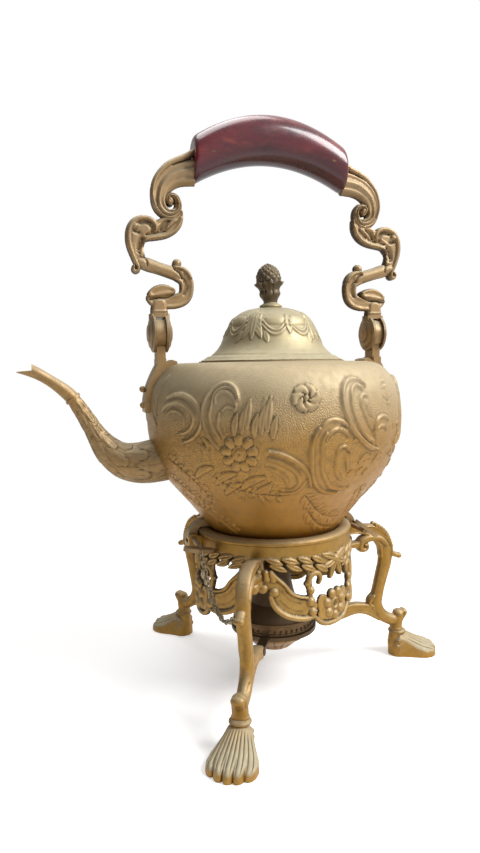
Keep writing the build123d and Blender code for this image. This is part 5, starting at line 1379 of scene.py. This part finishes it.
def cone_surface(low, r, h):
    """The pine cone: an oval turned round, with scales between crossing grooves, and its shade.

    Eleven grooves wind each way. At the share s of the way from the nearest groove to the middle between
    two, the surface stands out by 0.9*sqrt(s) - 0.35 mm, and less towards both ends.
    """
    section = through([(0.001, low), (0.66 * r, low + 0.07 * h), (r, low + 0.42 * h),
                       (0.72 * r, low + 0.8 * h), (0.001, low + h)], 110)
    azimuths = np.linspace(-180, 180, 132, endpoint=False)
    rows = run_of(section) / 2.3
    lean = azimuths[None, :] / 360 * 11
    first = np.abs(((lean + 0.5 * rows[:, None]) % 1) - 0.5) * 2
    second = np.abs(((lean - 0.5 * rows[:, None]) % 1) - 0.5) * 2
    scale = np.minimum(1 - first, 1 - second)
    height = 0.9 * np.sqrt(np.clip(scale, 0, 1)) - 0.35
    height *= (np.sin(np.linspace(0, np.pi, len(section))) ** 0.4)[:, None]
    cone = pushed_out(section, azimuths, height)
    return cone, hollows(height, 3, 0.3)


class KETTLE_OT_knob(Operator):
    """Builds the pine cone knob and its leaf cup"""

    bl_idname = "kettle.knob"
    bl_label = "Knob"

    def execute(self, context):
        s = sizes().burner
        base = top_of("finial_plate")
        r, h = s.cone_radius / MM, s.cone_height / MM
        cone, shade = cone_surface(base + 6.3, r, h)
        Mould("pine_cone").add(leaned(cone, base), shade=shade).make(
            "knob bronze", "lid", "finial", ("finial_cone",))
        whole, shade = cup_surface(base, r)
        lifted = leaned(whole, base)
        lifted[..., 2] = np.maximum(lifted[..., 2], base)
        Mould("leaf_cup").add(lifted, shade=shade).make(
            "knob bronze", "lid", "finial", ("finial_cup",))
        repaint("lid brass", "finial_plate")
        return {"FINISHED"}


# The legs

def leg_strokes():
    """Strokes of the leg at azimuth 0 over (distance from the axis, height)."""
    hip = foot_of("ring_band")
    return (
        ("dish", 4.2, ((52.6, hip - 2.4, 1.9), (58, hip - 2, 2.2), (66, hip - 1.6, 3.4),
            (73.6, hip - 3.6, 4.9), (80, hip - 8.6, 5.5), (83.8, hip - 16.5, 5.3), (84, hip - 20, 5.2))),
        ("lobe", 4.1, ((84, hip - 17, 5.3), (83.7, hip - 25, 4.8), (81, hip - 36, 4.3), (78.3, 49, 4.1),
            (77, 40.5, 4.4), (79.6, 33, 4.4), (86, 27.6, 4.2), (92.4, 26, 4.2), (96.6, 28.4, 3.4),
            (98.6, 30.6, 2.9))),
        ("lobe", 4.6, ((84.2, hip - 14, 2), (80, hip - 9.6, 2.6), (74, hip - 7.6, 3.1),
            (67.6, hip - 8.6, 3.4), (63.8, hip - 12, 3), (65, hip - 15.4, 2.4), (68.2, hip - 15, 1.9),
            (68.8, hip - 12.6, 1.6))),
        ("lobe", 5.0, ((66.9, hip - 12.4, 1.8), (67.1, hip - 12.2, 1.8))),
        ("flat", 3.9, ((52, hip - 12, 2.2), (58, hip - 12, 2.1), (63, hip - 11.8, 2.4))),
        ("lobe", 2.6, ((87.6, hip - 19.6, 2), (91, hip - 21.6, 1.9), (94.6, hip - 22.9, 1.8))),
        ("lobe", 3.2, ((94.2, hip - 22.7, 2.1), (94.5, hip - 22.8, 2.1))),
        ("ridge", 0.7, ((68, hip + .8, .6), (75, hip, .8), (82.6, hip - 5, .8), (87, hip - 12, .8),
            (88.2, hip - 19, .8), (87, hip - 27, .8), (84.6, 60, .7), (81.4, 49, .7), (80.8, 42, .6))),
        ("ridge", 0.5, ((78.6, hip - 14, .6), (79.4, hip - 22, .8), (77.4, hip - 34, .8), (74.6, 50, .7),
            (73.4, 41, .7), (75.6, 32, .6))),
        ("dish", 4.1, ((47.8, 35.2, 4.3), (53.4, 36.8, 4.4), (60.4, 37.8, 4), (67.4, 36.9, 3.9),
            (74.4, 34.2, 4.3), (80, 30.8, 4.3))),
        ("lobe", 3.6, ((77.4, 46.6, 1.2), (73.2, 44.4, 1.9), (71.4, 40.6, 1.8), (73.6, 38, 1.2))),
        ("lobe", 4.7, ((95, 29, 4.4), (93.9, 24, 3.9), (93.2, 19, 4.3), (93, 13, 5.3), (92.6, 8, 5.4))),
        ("ridge", 0.6, ((89.4, 20.4, .6), (93.4, 19.4, .8), (97.4, 20, .6))),
        ("cut", 0.8, ((96.2, 26, .6), (97.4, 28.6, .7), (98, 31, .6))),
        ("cut", 0.7, ((83, 33.4, .4), (87, 30.6, .7), (92.4, 30, .5))),
    )


def shell_foot():
    """The shell foot: a fan of ribs from a round heel to a thick lobed toe.

    Over side a and share t, the point stands a*w(t) beside the middle line and t*(1 - 0.22*a^2) of the
    length out, plus 2.5*sqrt|cos(2.5*pi*a)| - 1.1 mm towards the toe, which makes five lobes. Its height is
    the side outline times 1 - 0.24*a^2 - 0.22*a^6, with ribs of 0.8*sqrt|cos(n*pi*a/2)| - 0.55 mm that grow
    outwards. The toe drops as a thick rounded wall and both sides as plain walls to the flat sole.
    """
    s = sizes().stand
    scale = s.foot_length / MM / 36.6
    across = math.tan(s.foot_spread) / math.tan(math.radians(33))
    toe = 1 - 0.07 * (1 - np.sin(np.linspace(0, np.pi / 2, 9)))
    share = np.concatenate([np.linspace(0, 0.93, 56), toe[1:]])[:, None]
    outer = smooth_step(share, 0.7, 1.0)
    side = np.linspace(-1, 1, 133)[None, :]
    ribs = np.abs(np.cos(side * 0.5 * np.pi * s.ribs))
    lobes = np.sqrt(np.abs(np.cos(2.5 * np.pi * side)))
    wide = np.interp(share, np.array([0, .04, .10, .18, .30, .42, .56, .72, .88, 1.0]),
                     np.array([0.4, 3.8, 6.0, 7.0, 7.8, 9.2, 11.2, 13.2, 14.3, 14.0]) * across)
    reach = 34.2 * scale * (1 - 0.22 * side ** 2)
    x = share * reach + (2.5 * lobes - 1.1) * outer
    y = wide * side * (1 + 0.03 * (lobes - 0.5) * smooth_step(share, 0.6, 1.0))
    profile = np.interp(share, np.array([0, .08, .18, .32, .46, .62, .80, .93, 1.0]),
                        np.array([9.0, 14.6, 17.4, 17.0, 14.6, 11.6, 8.6, 6.6, 5.6]))
    crown = 1 - 0.24 * side ** 2 - 0.22 * np.abs(side) ** 6 * smooth_step(share, 0.15, 0.6)
    grow = smooth_step(share, 0.3, 0.5)
    fall = np.sqrt(np.clip(1 - np.clip((share - 0.93) / 0.07, 0, 1) ** 2, 0, 1))
    height = (profile * crown + grow * (0.8 * np.sqrt(ribs) - 0.55)) * (0.5 + 0.5 * fall)
    height = height * (0.86 + 0.14 * lobes * outer + 0.14 * (1 - outer))
    top = np.stack([x, y, np.maximum(height, 1.0)], axis=-1)
    shade = np.clip(1.1 - 2.6 * ribs, 0, 1) * grow * (1 - smooth_step(share, 0.88, 0.95))
    shade = shade * (1 - smooth_step(np.abs(side), 0.93, 0.97)) * 0.8
    top = np.concatenate([top[:, :1], top, top[:, -1:]], axis=1)
    top[:, [0, -1], 2] = 0
    shade = np.pad(shade, ((0, 0), (1, 1)))
    waist = top[-1:].copy()
    waist[..., 0] += 0.35
    waist[..., 2] *= 0.5
    sole = top[::-1].copy()
    sole[..., 2] = 0
    whole = np.concatenate([top, waist, sole, top[:1]], axis=0)
    shade = np.concatenate([shade, np.zeros((len(whole) - len(top), shade.shape[1]))])
    return whole + np.array([s.heel_radius / MM, 0, 0]), shade


def leg_mould(name, turn):
    """One leg turned to its place: a flat casting with the faces y = -t and y = +t, beads and the foot."""
    mould = Mould(name)
    hip = foot_of("ring_band")
    x, z, half, keep, shade = casting((46, 104), (5, 99), 0.45, leg_strokes(), outline=0.1)
    keep &= z[:-1, :-1] > 5.5
    keep &= x[:-1, :-1] > 46.5
    thick = sizes().stand.leg_thickness / MM / 8
    front = turn_z(np.stack([x, -half * thick, z], axis=-1), turn)
    back = turn_z(np.stack([x, half * thick, z], axis=-1), turn)
    mould.add_faces(front, back, keep, shade)
    beads = through([(76, hip + 1.6), (82.4, hip - 2.6), (86.6, hip - 8.6), (88.8, hip - 14)], 10)
    if turn == FRONT_LEG:
        beads = ()
    for k, (r, z) in enumerate(beads):
        size = 1.75 - 0.09 * k
        for y in (-2.6, 2.6):
            mould.add(turn_z(ball((r - 0.6, y, z - 0.6), (size, size, size), 10, 7), turn), shade=0.1)
    mould.add(turn_z(ball((94.0, 0, 17.4), (6.3, 6.4, 2.3), 28, 12), turn), shade=0.15)
    for y in (-5.9, 5.9):
        for r, z in ((92.6, 11.6), (91.6, 7.6)):
            mould.add(turn_z(ball((r, y, z), (1.7, 1.5, 1.7), 12, 8), turn), shade=0.1)
    grid, shade = shell_foot()
    mould.add(turn_z(grid, turn), wrap=False, shade=shade)
    return mould


class KETTLE_OT_legs(Operator):
    """Builds the three legs with their shell feet"""

    bl_idname = "kettle.legs"
    bl_label = "Legs and feet"

    def execute(self, context):
        for name, turn in (("leg_right", 0), ("leg_rear", 120), ("leg_front", FRONT_LEG)):
            mould = leg_mould(name + "_cast", turn)
            mould.make("stand brass", "stand", "stand_brass", (name,))
        return {"FINISHED"}


# The gallery's relief

def panel_strokes():
    """Strokes of one third of the gallery over (degrees from its middle, height).

    The table holds the left half and gives depths below the top. The right half mirrors it.
    """
    top = top_of("gallery_panel_front")
    left = [
        ("flat", 1.0, [(-62, .8, 1.5), (-30, .8, 1.5), (0, .8, 1.5)]),
        ("flat", 1.0, [(-59, 4, 3.6), (-58, 12, 3.6), (-57, 19, 3.2)]),
        ("leaf", 2.9, [(-52.5, 1.4, 1.2), (-47.5, 2.8, 2.2), (-42.6, 4.3, .9)]),
        ("leaf", 2.9, [(-42, 1.3, 1.2), (-37, 2.5, 2.3), (-31.6, 4, .9)]),
        ("leaf", 2.9, [(-31, 1.4, 1.2), (-26.4, 2.9, 2.3), (-21.6, 4.6, .9)]),
        ("leaf", 2.9, [(-20.6, 1.6, 1.2), (-17, 3.3, 2.2), (-12.8, 5.4, .9)]),
        ("leaf", 2.6, [(-50, 5.2, 1.2), (-45, 6.8, 2.2), (-39.8, 8.6, .9)]),
        ("leaf", 2.6, [(-39, 4.8, 1.2), (-34.6, 6.8, 2.3), (-29.6, 8.6, .9)]),
        ("leaf", 2.6, [(-28.4, 5.9, 1.2), (-24, 7.8, 2.3), (-19, 9.7, .9)]),
        ("leaf", 2.6, [(-18, 7, 1.2), (-13.4, 9.4, 2.3), (-8.6, 11.8, .9)]),
        ("lobe", 2.7, [(-58.6, 9.6, 2.2), (-58.2, 13.4, 2.5), (-57.8, 17.6, 2.4)]),
        ("lobe", 3.0, [(-55.6, 19.6, 3.1), (-55.2, 19.4, 3.1)]),
        ("lobe", 2.7, [(-53.6, 9.6, 2.2), (-52.6, 13.4, 2.3)]),
        ("lobe", 2.6, [(-50, 9.4, 1.8), (-48.4, 13.8, 2.3)]),
        ("lobe", 3.1, [(-48.2, 21.4, 3), (-47.8, 21.6, 3)]),
        ("flat", 1.1, [(-54, 12, 3.2), (-50, 16, 3.4), (-47, 22, 3)]),
        ("lobe", 2.4, [(-49.2, 9.2, 1.1), (-45.4, 13.6, 1.4), (-40.8, 17.2, 1.2), (-37.4, 21.4, 1.4),
            (-33, 24.2, 1.2), (-25, 26.2, 1.2)]),
        ("flat", 0.8, [(-46.4, 17.6, 2.8), (-43, 24, 4.8), (-36.4, 30, 5.4), (-28.4, 32.4, 5.2),
            (-22, 33, 5)]),
        ("lobe", 2.8, [(-50.2, 23.6, 1.4), (-48.6, 28.6, 1.8), (-44.2, 33.6, 1.9), (-38.2, 36.8, 1.9),
            (-31, 38.5, 1.8), (-24.4, 39, 1.6), (-20, 38.4, 1.2)]),
        ("lobe", 2.5, [(-24.2, 20.4, 1.4), (-23.8, 15.8, 1.9), (-20.8, 12, 2.1), (-16.2, 12.2, 1.7),
            (-14.6, 15.4, 1.5), (-16.2, 18.2, 1)]),
        ("flat", 1.0, [(-22.4, 6, 2), (-23, 12, 1.8), (-22.6, 20, 1.7), (-22, 30, 2), (-20.6, 38, 2.2)]),
        ("lobe", 2.9, [(-22.2, 22.4, 2.6), (-22, 22.1, 2.6)]),
        ("lobe", 3.1, [(-22.2, 29.2, 3.1), (-22, 29, 3.1)]),
        ("lobe", 3.1, [(-20.8, 35.9, 3), (-20.6, 35.7, 3)]),
        ("lobe", 2.2, [(-25.9, 17.8, 1.3), (-25.7, 17.6, 1.3)]),
        ("leaf", 3.0, [(-1.6, 4.6, 1.6), (-6.4, 2.8, 2.6), (-12.4, 1.2, .9)]),
        ("leaf", 3.0, [(-1.6, 5.8, 1.6), (-6.2, 7.8, 2.5), (-11.6, 9, .9)]),
        ("leaf", 3.0, [(-1, 7, 1.6), (-3.6, 11.6, 2.4), (-5.6, 16.6, .9)]),
        ("flat", 1.1, [(-12, 4.6, 3.4), (0, 6, 4.4)]),
        ("lobe", 2.2, [(-18.6, 39.2, 1.2), (-14.2, 43.2, 1.5), (-8, 45.4, 1.6), (0, 45.8, 1.7)]),
        ("flat", 1.1, [(-12, 38.5, 4), (0, 40, 4.6)]),
        ("flat", 1.1, [(-12, 30, 4), (-11, 34, 4.6), (0, 34, 6.8)]),
        ("cut", 0.6, [(-43, 20.8, .5), (-38, 26, .9), (-30, 29.2, .5)]),
        ("cut", 0.6, [(-44, 26.6, .5), (-38, 31.6, .9), (-29, 34.2, .5)]),
    ]
    left = moved(left, lambda x, deep, wide: (x, top - deep, wide))
    for k in range(4):
        turn = math.radians(-90 - 51.43 * k)
        place = (8.4 * math.cos(turn), top - 34.0 + 7.4 * math.sin(turn))
        left.append(("lobe", 3.0, [(place[0], place[1], 3.2), (place[0] * 0.94, place[1], 3.2)]))
    whole = left + moved(left, lambda x, z, wide: (-x, z, wide))
    whole.append(("lobe", 3.5, [(-0.3, top - 5.4, 2.8), (0.3, top - 5.2, 2.8)]))
    whole.append(("cut", 2.6, [(-0.2, top - 34.2, 1.9), (0.2, top - 33.8, 1.9)]))
    whole.append(("ridge", 1.0, ring_of(0, top - 34.0, 2.9, 0.6, 13)))
    return whole


def panel_grids(start):
    """The casting of one third of the gallery bent round the band: outside, inside, kept cells and shade.

    A point at x along the flat casting goes to the azimuth start + 60 degrees + x/radius. The outside stands
    out from the sheet's middle by the relief, and the inside is plain and 1 mm in from it.
    """
    radius = sizes().stand.band_radius / MM
    degree = math.radians(radius)
    strokes = moved(panel_strokes(), lambda x, z, wide: (x * degree, z, wide))
    half, top = 60 * degree, top_of("gallery_panel_front")
    x, z, lift, keep, shade = casting((-half, half), (48.2, top), 0.5, strokes, 0.7)
    keep &= (np.abs(x[:-1, :-1]) < half) & (z[1:, 1:] < top + 0.3)
    azimuth = np.radians(start + 60) + x / radius
    wall = 1.0 * smooth_step(lift, 0.0, 0.3)
    middle = radius - 1.0
    sheets = []
    for reach in (middle + lift, middle - wall):
        sheets.append(np.stack([reach * np.cos(azimuth), reach * np.sin(azimuth), z], axis=-1))
    return sheets[0], sheets[1], keep, shade


def hanging_chain():
    """Oval links along a slack line from the pin's ring to the eye on the front leg.

    The line is straight from end to end less 4*sag*t*(1 - t) of height. Each link is a tube round the oval
    (2.2*cos a, 1.4*sin a), and every second link is turned a quarter about the line.
    """
    low, high = (np.array(corner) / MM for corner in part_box("chain_ring"))
    start = np.array([(low[0] + high[0]) / 2, (low[1] + high[1]) / 2, low[2] + 0.6])
    out, aside, up = CHAIN_EYE
    end = turn_z(np.array([out, -aside, up]), FRONT_LEG)
    t = np.linspace(0, 1, 200)[:, None]
    line = start + (end - start) * t - np.array([0, 0, 4 * CHAIN_SAG]) * t * (1 - t)
    run = run_of(line)
    count = int(round(run[-1] / CHAIN_PITCH))
    places = (np.arange(count) + 0.5) / count * run[-1]
    middle = np.stack([np.interp(places, run, line[:, k]) for k in range(3)], axis=1)
    ahead = np.stack([np.interp(places, run, np.gradient(line[:, k])) for k in range(3)], axis=1)
    ahead /= np.linalg.norm(ahead, axis=1)[:, None]
    across = np.cross(ahead, [0.3, -1.0, 0.2])
    across /= np.linalg.norm(across, axis=1)[:, None]
    over = np.cross(ahead, across)
    a = np.linspace(0, 2 * np.pi, 17)[:, None]
    b = np.linspace(0, 2 * np.pi, 8, endpoint=False)[None, :]
    long, wide, wire = 2.2, 1.4, 0.5
    lengthways = (long + wire * np.cos(b)) * np.cos(a)
    sideways = (wide + wire * np.cos(b)) * np.sin(a)
    through_link = wire * np.sin(b) + 0 * a
    links = []
    for k in range(count):
        first, second = (across[k], over[k]) if k % 2 else (over[k], across[k])
        links.append(middle[k] + lengthways[..., None] * ahead[k] + sideways[..., None] * first
                     + through_link[..., None] * second)
    return links


class KETTLE_OT_gallery(Operator):
    """Builds the three cast and pierced panels of the gallery"""

    bl_idname = "kettle.gallery"
    bl_label = "Gallery"

    def execute(self, context):
        for name, start in (("right", 0), ("rear", 120), ("front", -120)):
            mould = Mould("gallery_cast_" + name)
            mould.add_faces(*panel_grids(start))
            mould.make("gallery brass", "stand", "stand_brass", ("gallery_panel_" + name,))
        repaint("stand brass", "stand_ring", "ring_band", "front_pin_lug", "rear_pin_lug", "gallery_rivets")
        repaint("fitting brass", "front_pin", "rear_pin")
        repaint("wire", "chain_ring", "tie_wire")
        chain = Mould("pin_chain_links")
        for link in hanging_chain():
            chain.add(link)
        chain.make("wire", "stand", "wire", ("pin_chain",))
        return {"FINISHED"}


# The burner

def bowl_surface():
    """The spirit bowl: an outline turned round, with gadroons and a plain inside, and its shade.

    With lobe = |sin(n*q/2)| at azimuth q for n gadroons, the radius grows by 0.9*lobe^0.6 - 0.75 mm, fading
    in over the foot and out below the rim.
    """
    s = sizes().burner
    z, r, h = foot_of("burner_bowl"), s.bowl_radius / MM, s.bowl_height / MM
    outline = through([(0.31 * r, z), (0.45 * r, z + 0.087 * h), (0.676 * r, z + 0.39 * h),
                       (0.92 * r, z + 0.645 * h), (r, z + 0.86 * h), (r, z + h)], 60)
    azimuths = np.linspace(-180, 180, 300, endpoint=False)
    share = np.linspace(0, 1, 60)[:, None]
    lobe = np.abs(np.sin(np.radians(azimuths)[None, :] * s.lobes / 2))
    swell = (0.9 * lobe ** 0.6 - 0.75) * smooth_step(share, 0.06, 0.3)
    swell = swell * (1 - smooth_step(share, 0.8, 0.9))
    outer = turned(outline, azimuths)
    outer[..., :2] *= 1 + swell[..., None] / outline[:, 0][:, None, None]
    inner = np.vstack([(outline - outward(outline) * SHEET)[::-1][::5], [(0.01, z + SHEET)]])
    inside = turned(inner, azimuths)
    foot = turned(np.array([(0.01, z), (0.31 * r, z)]), azimuths)
    whole = np.concatenate([foot, outer, inside], axis=0)
    shade = np.concatenate([np.zeros((2, 300)), hollows(swell, 6, 0.3), np.full((len(inside), 300), 0.4)])
    return whole, shade


class KETTLE_OT_burner(Operator):
    """Builds the gadrooned spirit bowl"""

    bl_idname = "kettle.burner"
    bl_label = "Burner"

    def execute(self, context):
        whole, shade = bowl_surface()
        Mould("spirit_bowl").add(whole, shade=shade).make(
            "burner brass", "burner", "burner_brass", ("burner_bowl",))
        beads = Mould("burner_beads")
        band = foot_of("burner_rim")
        for k in range(BURNER_BEADS):
            turn = 2 * math.pi * k / BURNER_BEADS
            place = (BEAD_CIRCLE * math.cos(turn), BEAD_CIRCLE * math.sin(turn), band + 2.4)
            beads.add(ball(place, (0.95, 0.95, 0.95), 8, 6))
        beads.make("singed brass", "burner", "burner_brass")
        repaint("singed brass", "burner_rim")
        # The cradle and its rivets under the kettle take the dark smoked brass partly as painted shade
        repaint("smoked brass", "burner_top", "wick_tube", "snuffer_cap", "burner_cradle", "cradle_rivets")
        repaint("wick cotton", "wick")
        return {"FINISHED"}


# Floor, light and camera

def spun(first, second, degrees):
    """Two directions turned in their own plane, the first away from the second."""
    c, s = math.cos(math.radians(degrees)), math.sin(math.radians(degrees))
    return c * first - s * second, c * second + s * first


def camera_frame():
    """The camera's right, up and forward directions and its place in metres, from the angles named above."""
    turn = math.radians(CAMERA_TURN)
    place = np.array([math.sin(turn) * CAMERA_DISTANCE, -math.cos(turn) * CAMERA_DISTANCE, CAMERA_HEIGHT])
    ahead = np.array([-math.sin(turn), math.cos(turn), 0.0])
    right = np.array([math.cos(turn), math.sin(turn), 0.0])
    up = np.array([0.0, 0.0, 1.0])
    ahead, right = spun(ahead, right, CAMERA_ASIDE)
    ahead, up = spun(ahead, up, CAMERA_DOWN)
    right, up = spun(right, up, -CAMERA_LEAN)
    return right, up, ahead, place * MM


def stand_up(name, data, right, up, back, place):
    """Adds a lamp or a camera whose own axes point right, up and back, at a place in metres."""
    thing = bpy.data.objects.new(name, data)
    bpy.context.scene.collection.objects.link(thing)
    matrix = np.eye(4)
    matrix[:3] = np.stack([right, up, back, place], axis=1)
    thing.matrix_world = Matrix(matrix.tolist())
    return thing


def soft_light(name, place, size, watts):
    """A square lamp that faces the lit point."""
    data = bpy.data.lights.new(name, "AREA")
    data.shape = "SQUARE"
    data.size = size
    data.energy = watts
    place = np.array(place, float)
    back = place - np.array(LIT_POINT, float)
    back /= np.linalg.norm(back)
    side = np.cross([0, 0, 1], back)
    side /= np.linalg.norm(side)
    stand_up(name, data, side, np.cross(back, side), back, place)


def white_world():
    """White where the camera looks; other rays find it dimmer on the spout side, as beside a dark wall."""
    world = bpy.data.worlds.new("studio")
    bpy.context.scene.world = world
    world.use_nodes = True
    w = Nodes(world.node_tree)
    out = w.node("ShaderNodeOutputWorld")
    glow = w.node("ShaderNodeBackground")
    w.put(glow.inputs["Color"], (1, 1, 1))
    from_spout = w.axis(w.node("ShaderNodeTexCoord").outputs["Generated"], 0)
    dim = w.spread(from_spout, -0.85, 0.35, 0.05, 1.0)
    shown = w.sum("MAXIMUM", dim, w.node("ShaderNodeLightPath").outputs["Is Camera Ray"])
    strength = w.spread(w.seen_directly(), 0.0, 1.0, WORLD_LIGHT, 1.0)
    w.put(glow.inputs["Strength"], w.sum("MULTIPLY", shown, strength))
    w.join(glow.outputs[0], out.inputs["Surface"])


def pale_floor():
    """A wide pale floor that takes the object's shadow and looks white away from it."""
    mesh = bpy.data.meshes.new("floor")
    mesh.from_pydata([(-6, -6, 0), (6, -6, 0), (6, 6, 0), (-6, 6, 0)], [], [(0, 1, 2, 3)])
    floor = bpy.data.objects.new("floor", mesh)
    bpy.context.scene.collection.objects.link(floor)
    r = Recipe("floor white")
    distance = r.node("ShaderNodeVectorMath", operation="LENGTH")
    r.join(r.coords.outputs["Object"], distance.inputs[0])
    far = r.spread(distance.outputs["Value"], *FLOOR_FADE)
    pale = r.mix(r.noise(6, 2), (0.90, 0.90, 0.90), (0.94, 0.94, 0.94))
    seen = r.seen_directly()
    base = r.mix(r.sum("MULTIPLY", far, seen), pale, (0.0, 0.0, 0.0))
    glow = r.sum("MULTIPLY", seen, r.spread(far, 0.0, 1.0, 0.4, 1.0))
    r.finish(Base_Color=base, Roughness=0.9, Emission_Color=(1.0, 1.0, 1.0), Emission_Strength=glow)
    r.shader.inputs["Specular IOR Level"].default_value = 0.1
    mesh.materials.append(r.material)


class KETTLE_OT_stage(Operator):
    """Sets the floor, the soft light and the camera"""

    bl_idname = "kettle.stage"
    bl_label = "Floor, light and camera"

    def execute(self, context):
        white_world()
        pale_floor()
        for lamp in LAMPS:
            soft_light(*lamp)
        right, up, ahead, place = camera_frame()
        data = bpy.data.cameras.new("camera")
        data.sensor_fit = "VERTICAL"
        data.sensor_height = FILM_HEIGHT
        data.lens = LENS
        data.clip_start = 0.01
        context.scene.camera = stand_up("camera", data, right, up, -ahead, place)
        context.scene.view_settings.view_transform = "Standard"
        return {"FINISHED"}


# The add-on

OPERATORS = (KETTLE_OT_stage, KETTLE_OT_body, KETTLE_OT_lid, KETTLE_OT_spout, KETTLE_OT_arms, KETTLE_OT_grip,
             KETTLE_OT_knob, KETTLE_OT_legs, KETTLE_OT_gallery, KETTLE_OT_burner)


class KettleSettings(PropertyGroup):
    """Everything a user would change."""

    kettle: PointerProperty(type=KettleSizes)
    handle: PointerProperty(type=HandleSizes)
    stand: PointerProperty(type=StandSizes)
    burner: PointerProperty(type=BurnerSizes)
    finishes: PointerProperty(type=Finishes)


class KETTLE_PT_pieces(Panel):
    """Lists the pieces in the sidebar"""

    bl_idname = "KETTLE_PT_pieces"
    bl_label = "Spirit kettle"
    bl_space_type = "VIEW_3D"
    bl_region_type = "UI"
    bl_category = "Kettle"

    def draw(self, context):
        for operator in OPERATORS:
            self.layout.operator(operator.bl_idname)


CLASSES = (KettleSizes, HandleSizes, StandSizes, BurnerSizes, Finishes, KettleSettings, *OPERATORS,
           KETTLE_PT_pieces)


def register():
    for each in CLASSES:
        bpy.utils.register_class(each)
    bpy.types.Scene.kettle = PointerProperty(type=KettleSettings)


def unregister():
    del bpy.types.Scene.kettle
    for each in reversed(CLASSES):
        bpy.utils.unregister_class(each)


def main():
    """Registers the add-on and builds every piece."""
    register()
    for operator in OPERATORS:
        group, call = operator.bl_idname.split(".")
        getattr(getattr(bpy.ops, group), call)()


if __name__ == "__main__":
    main()
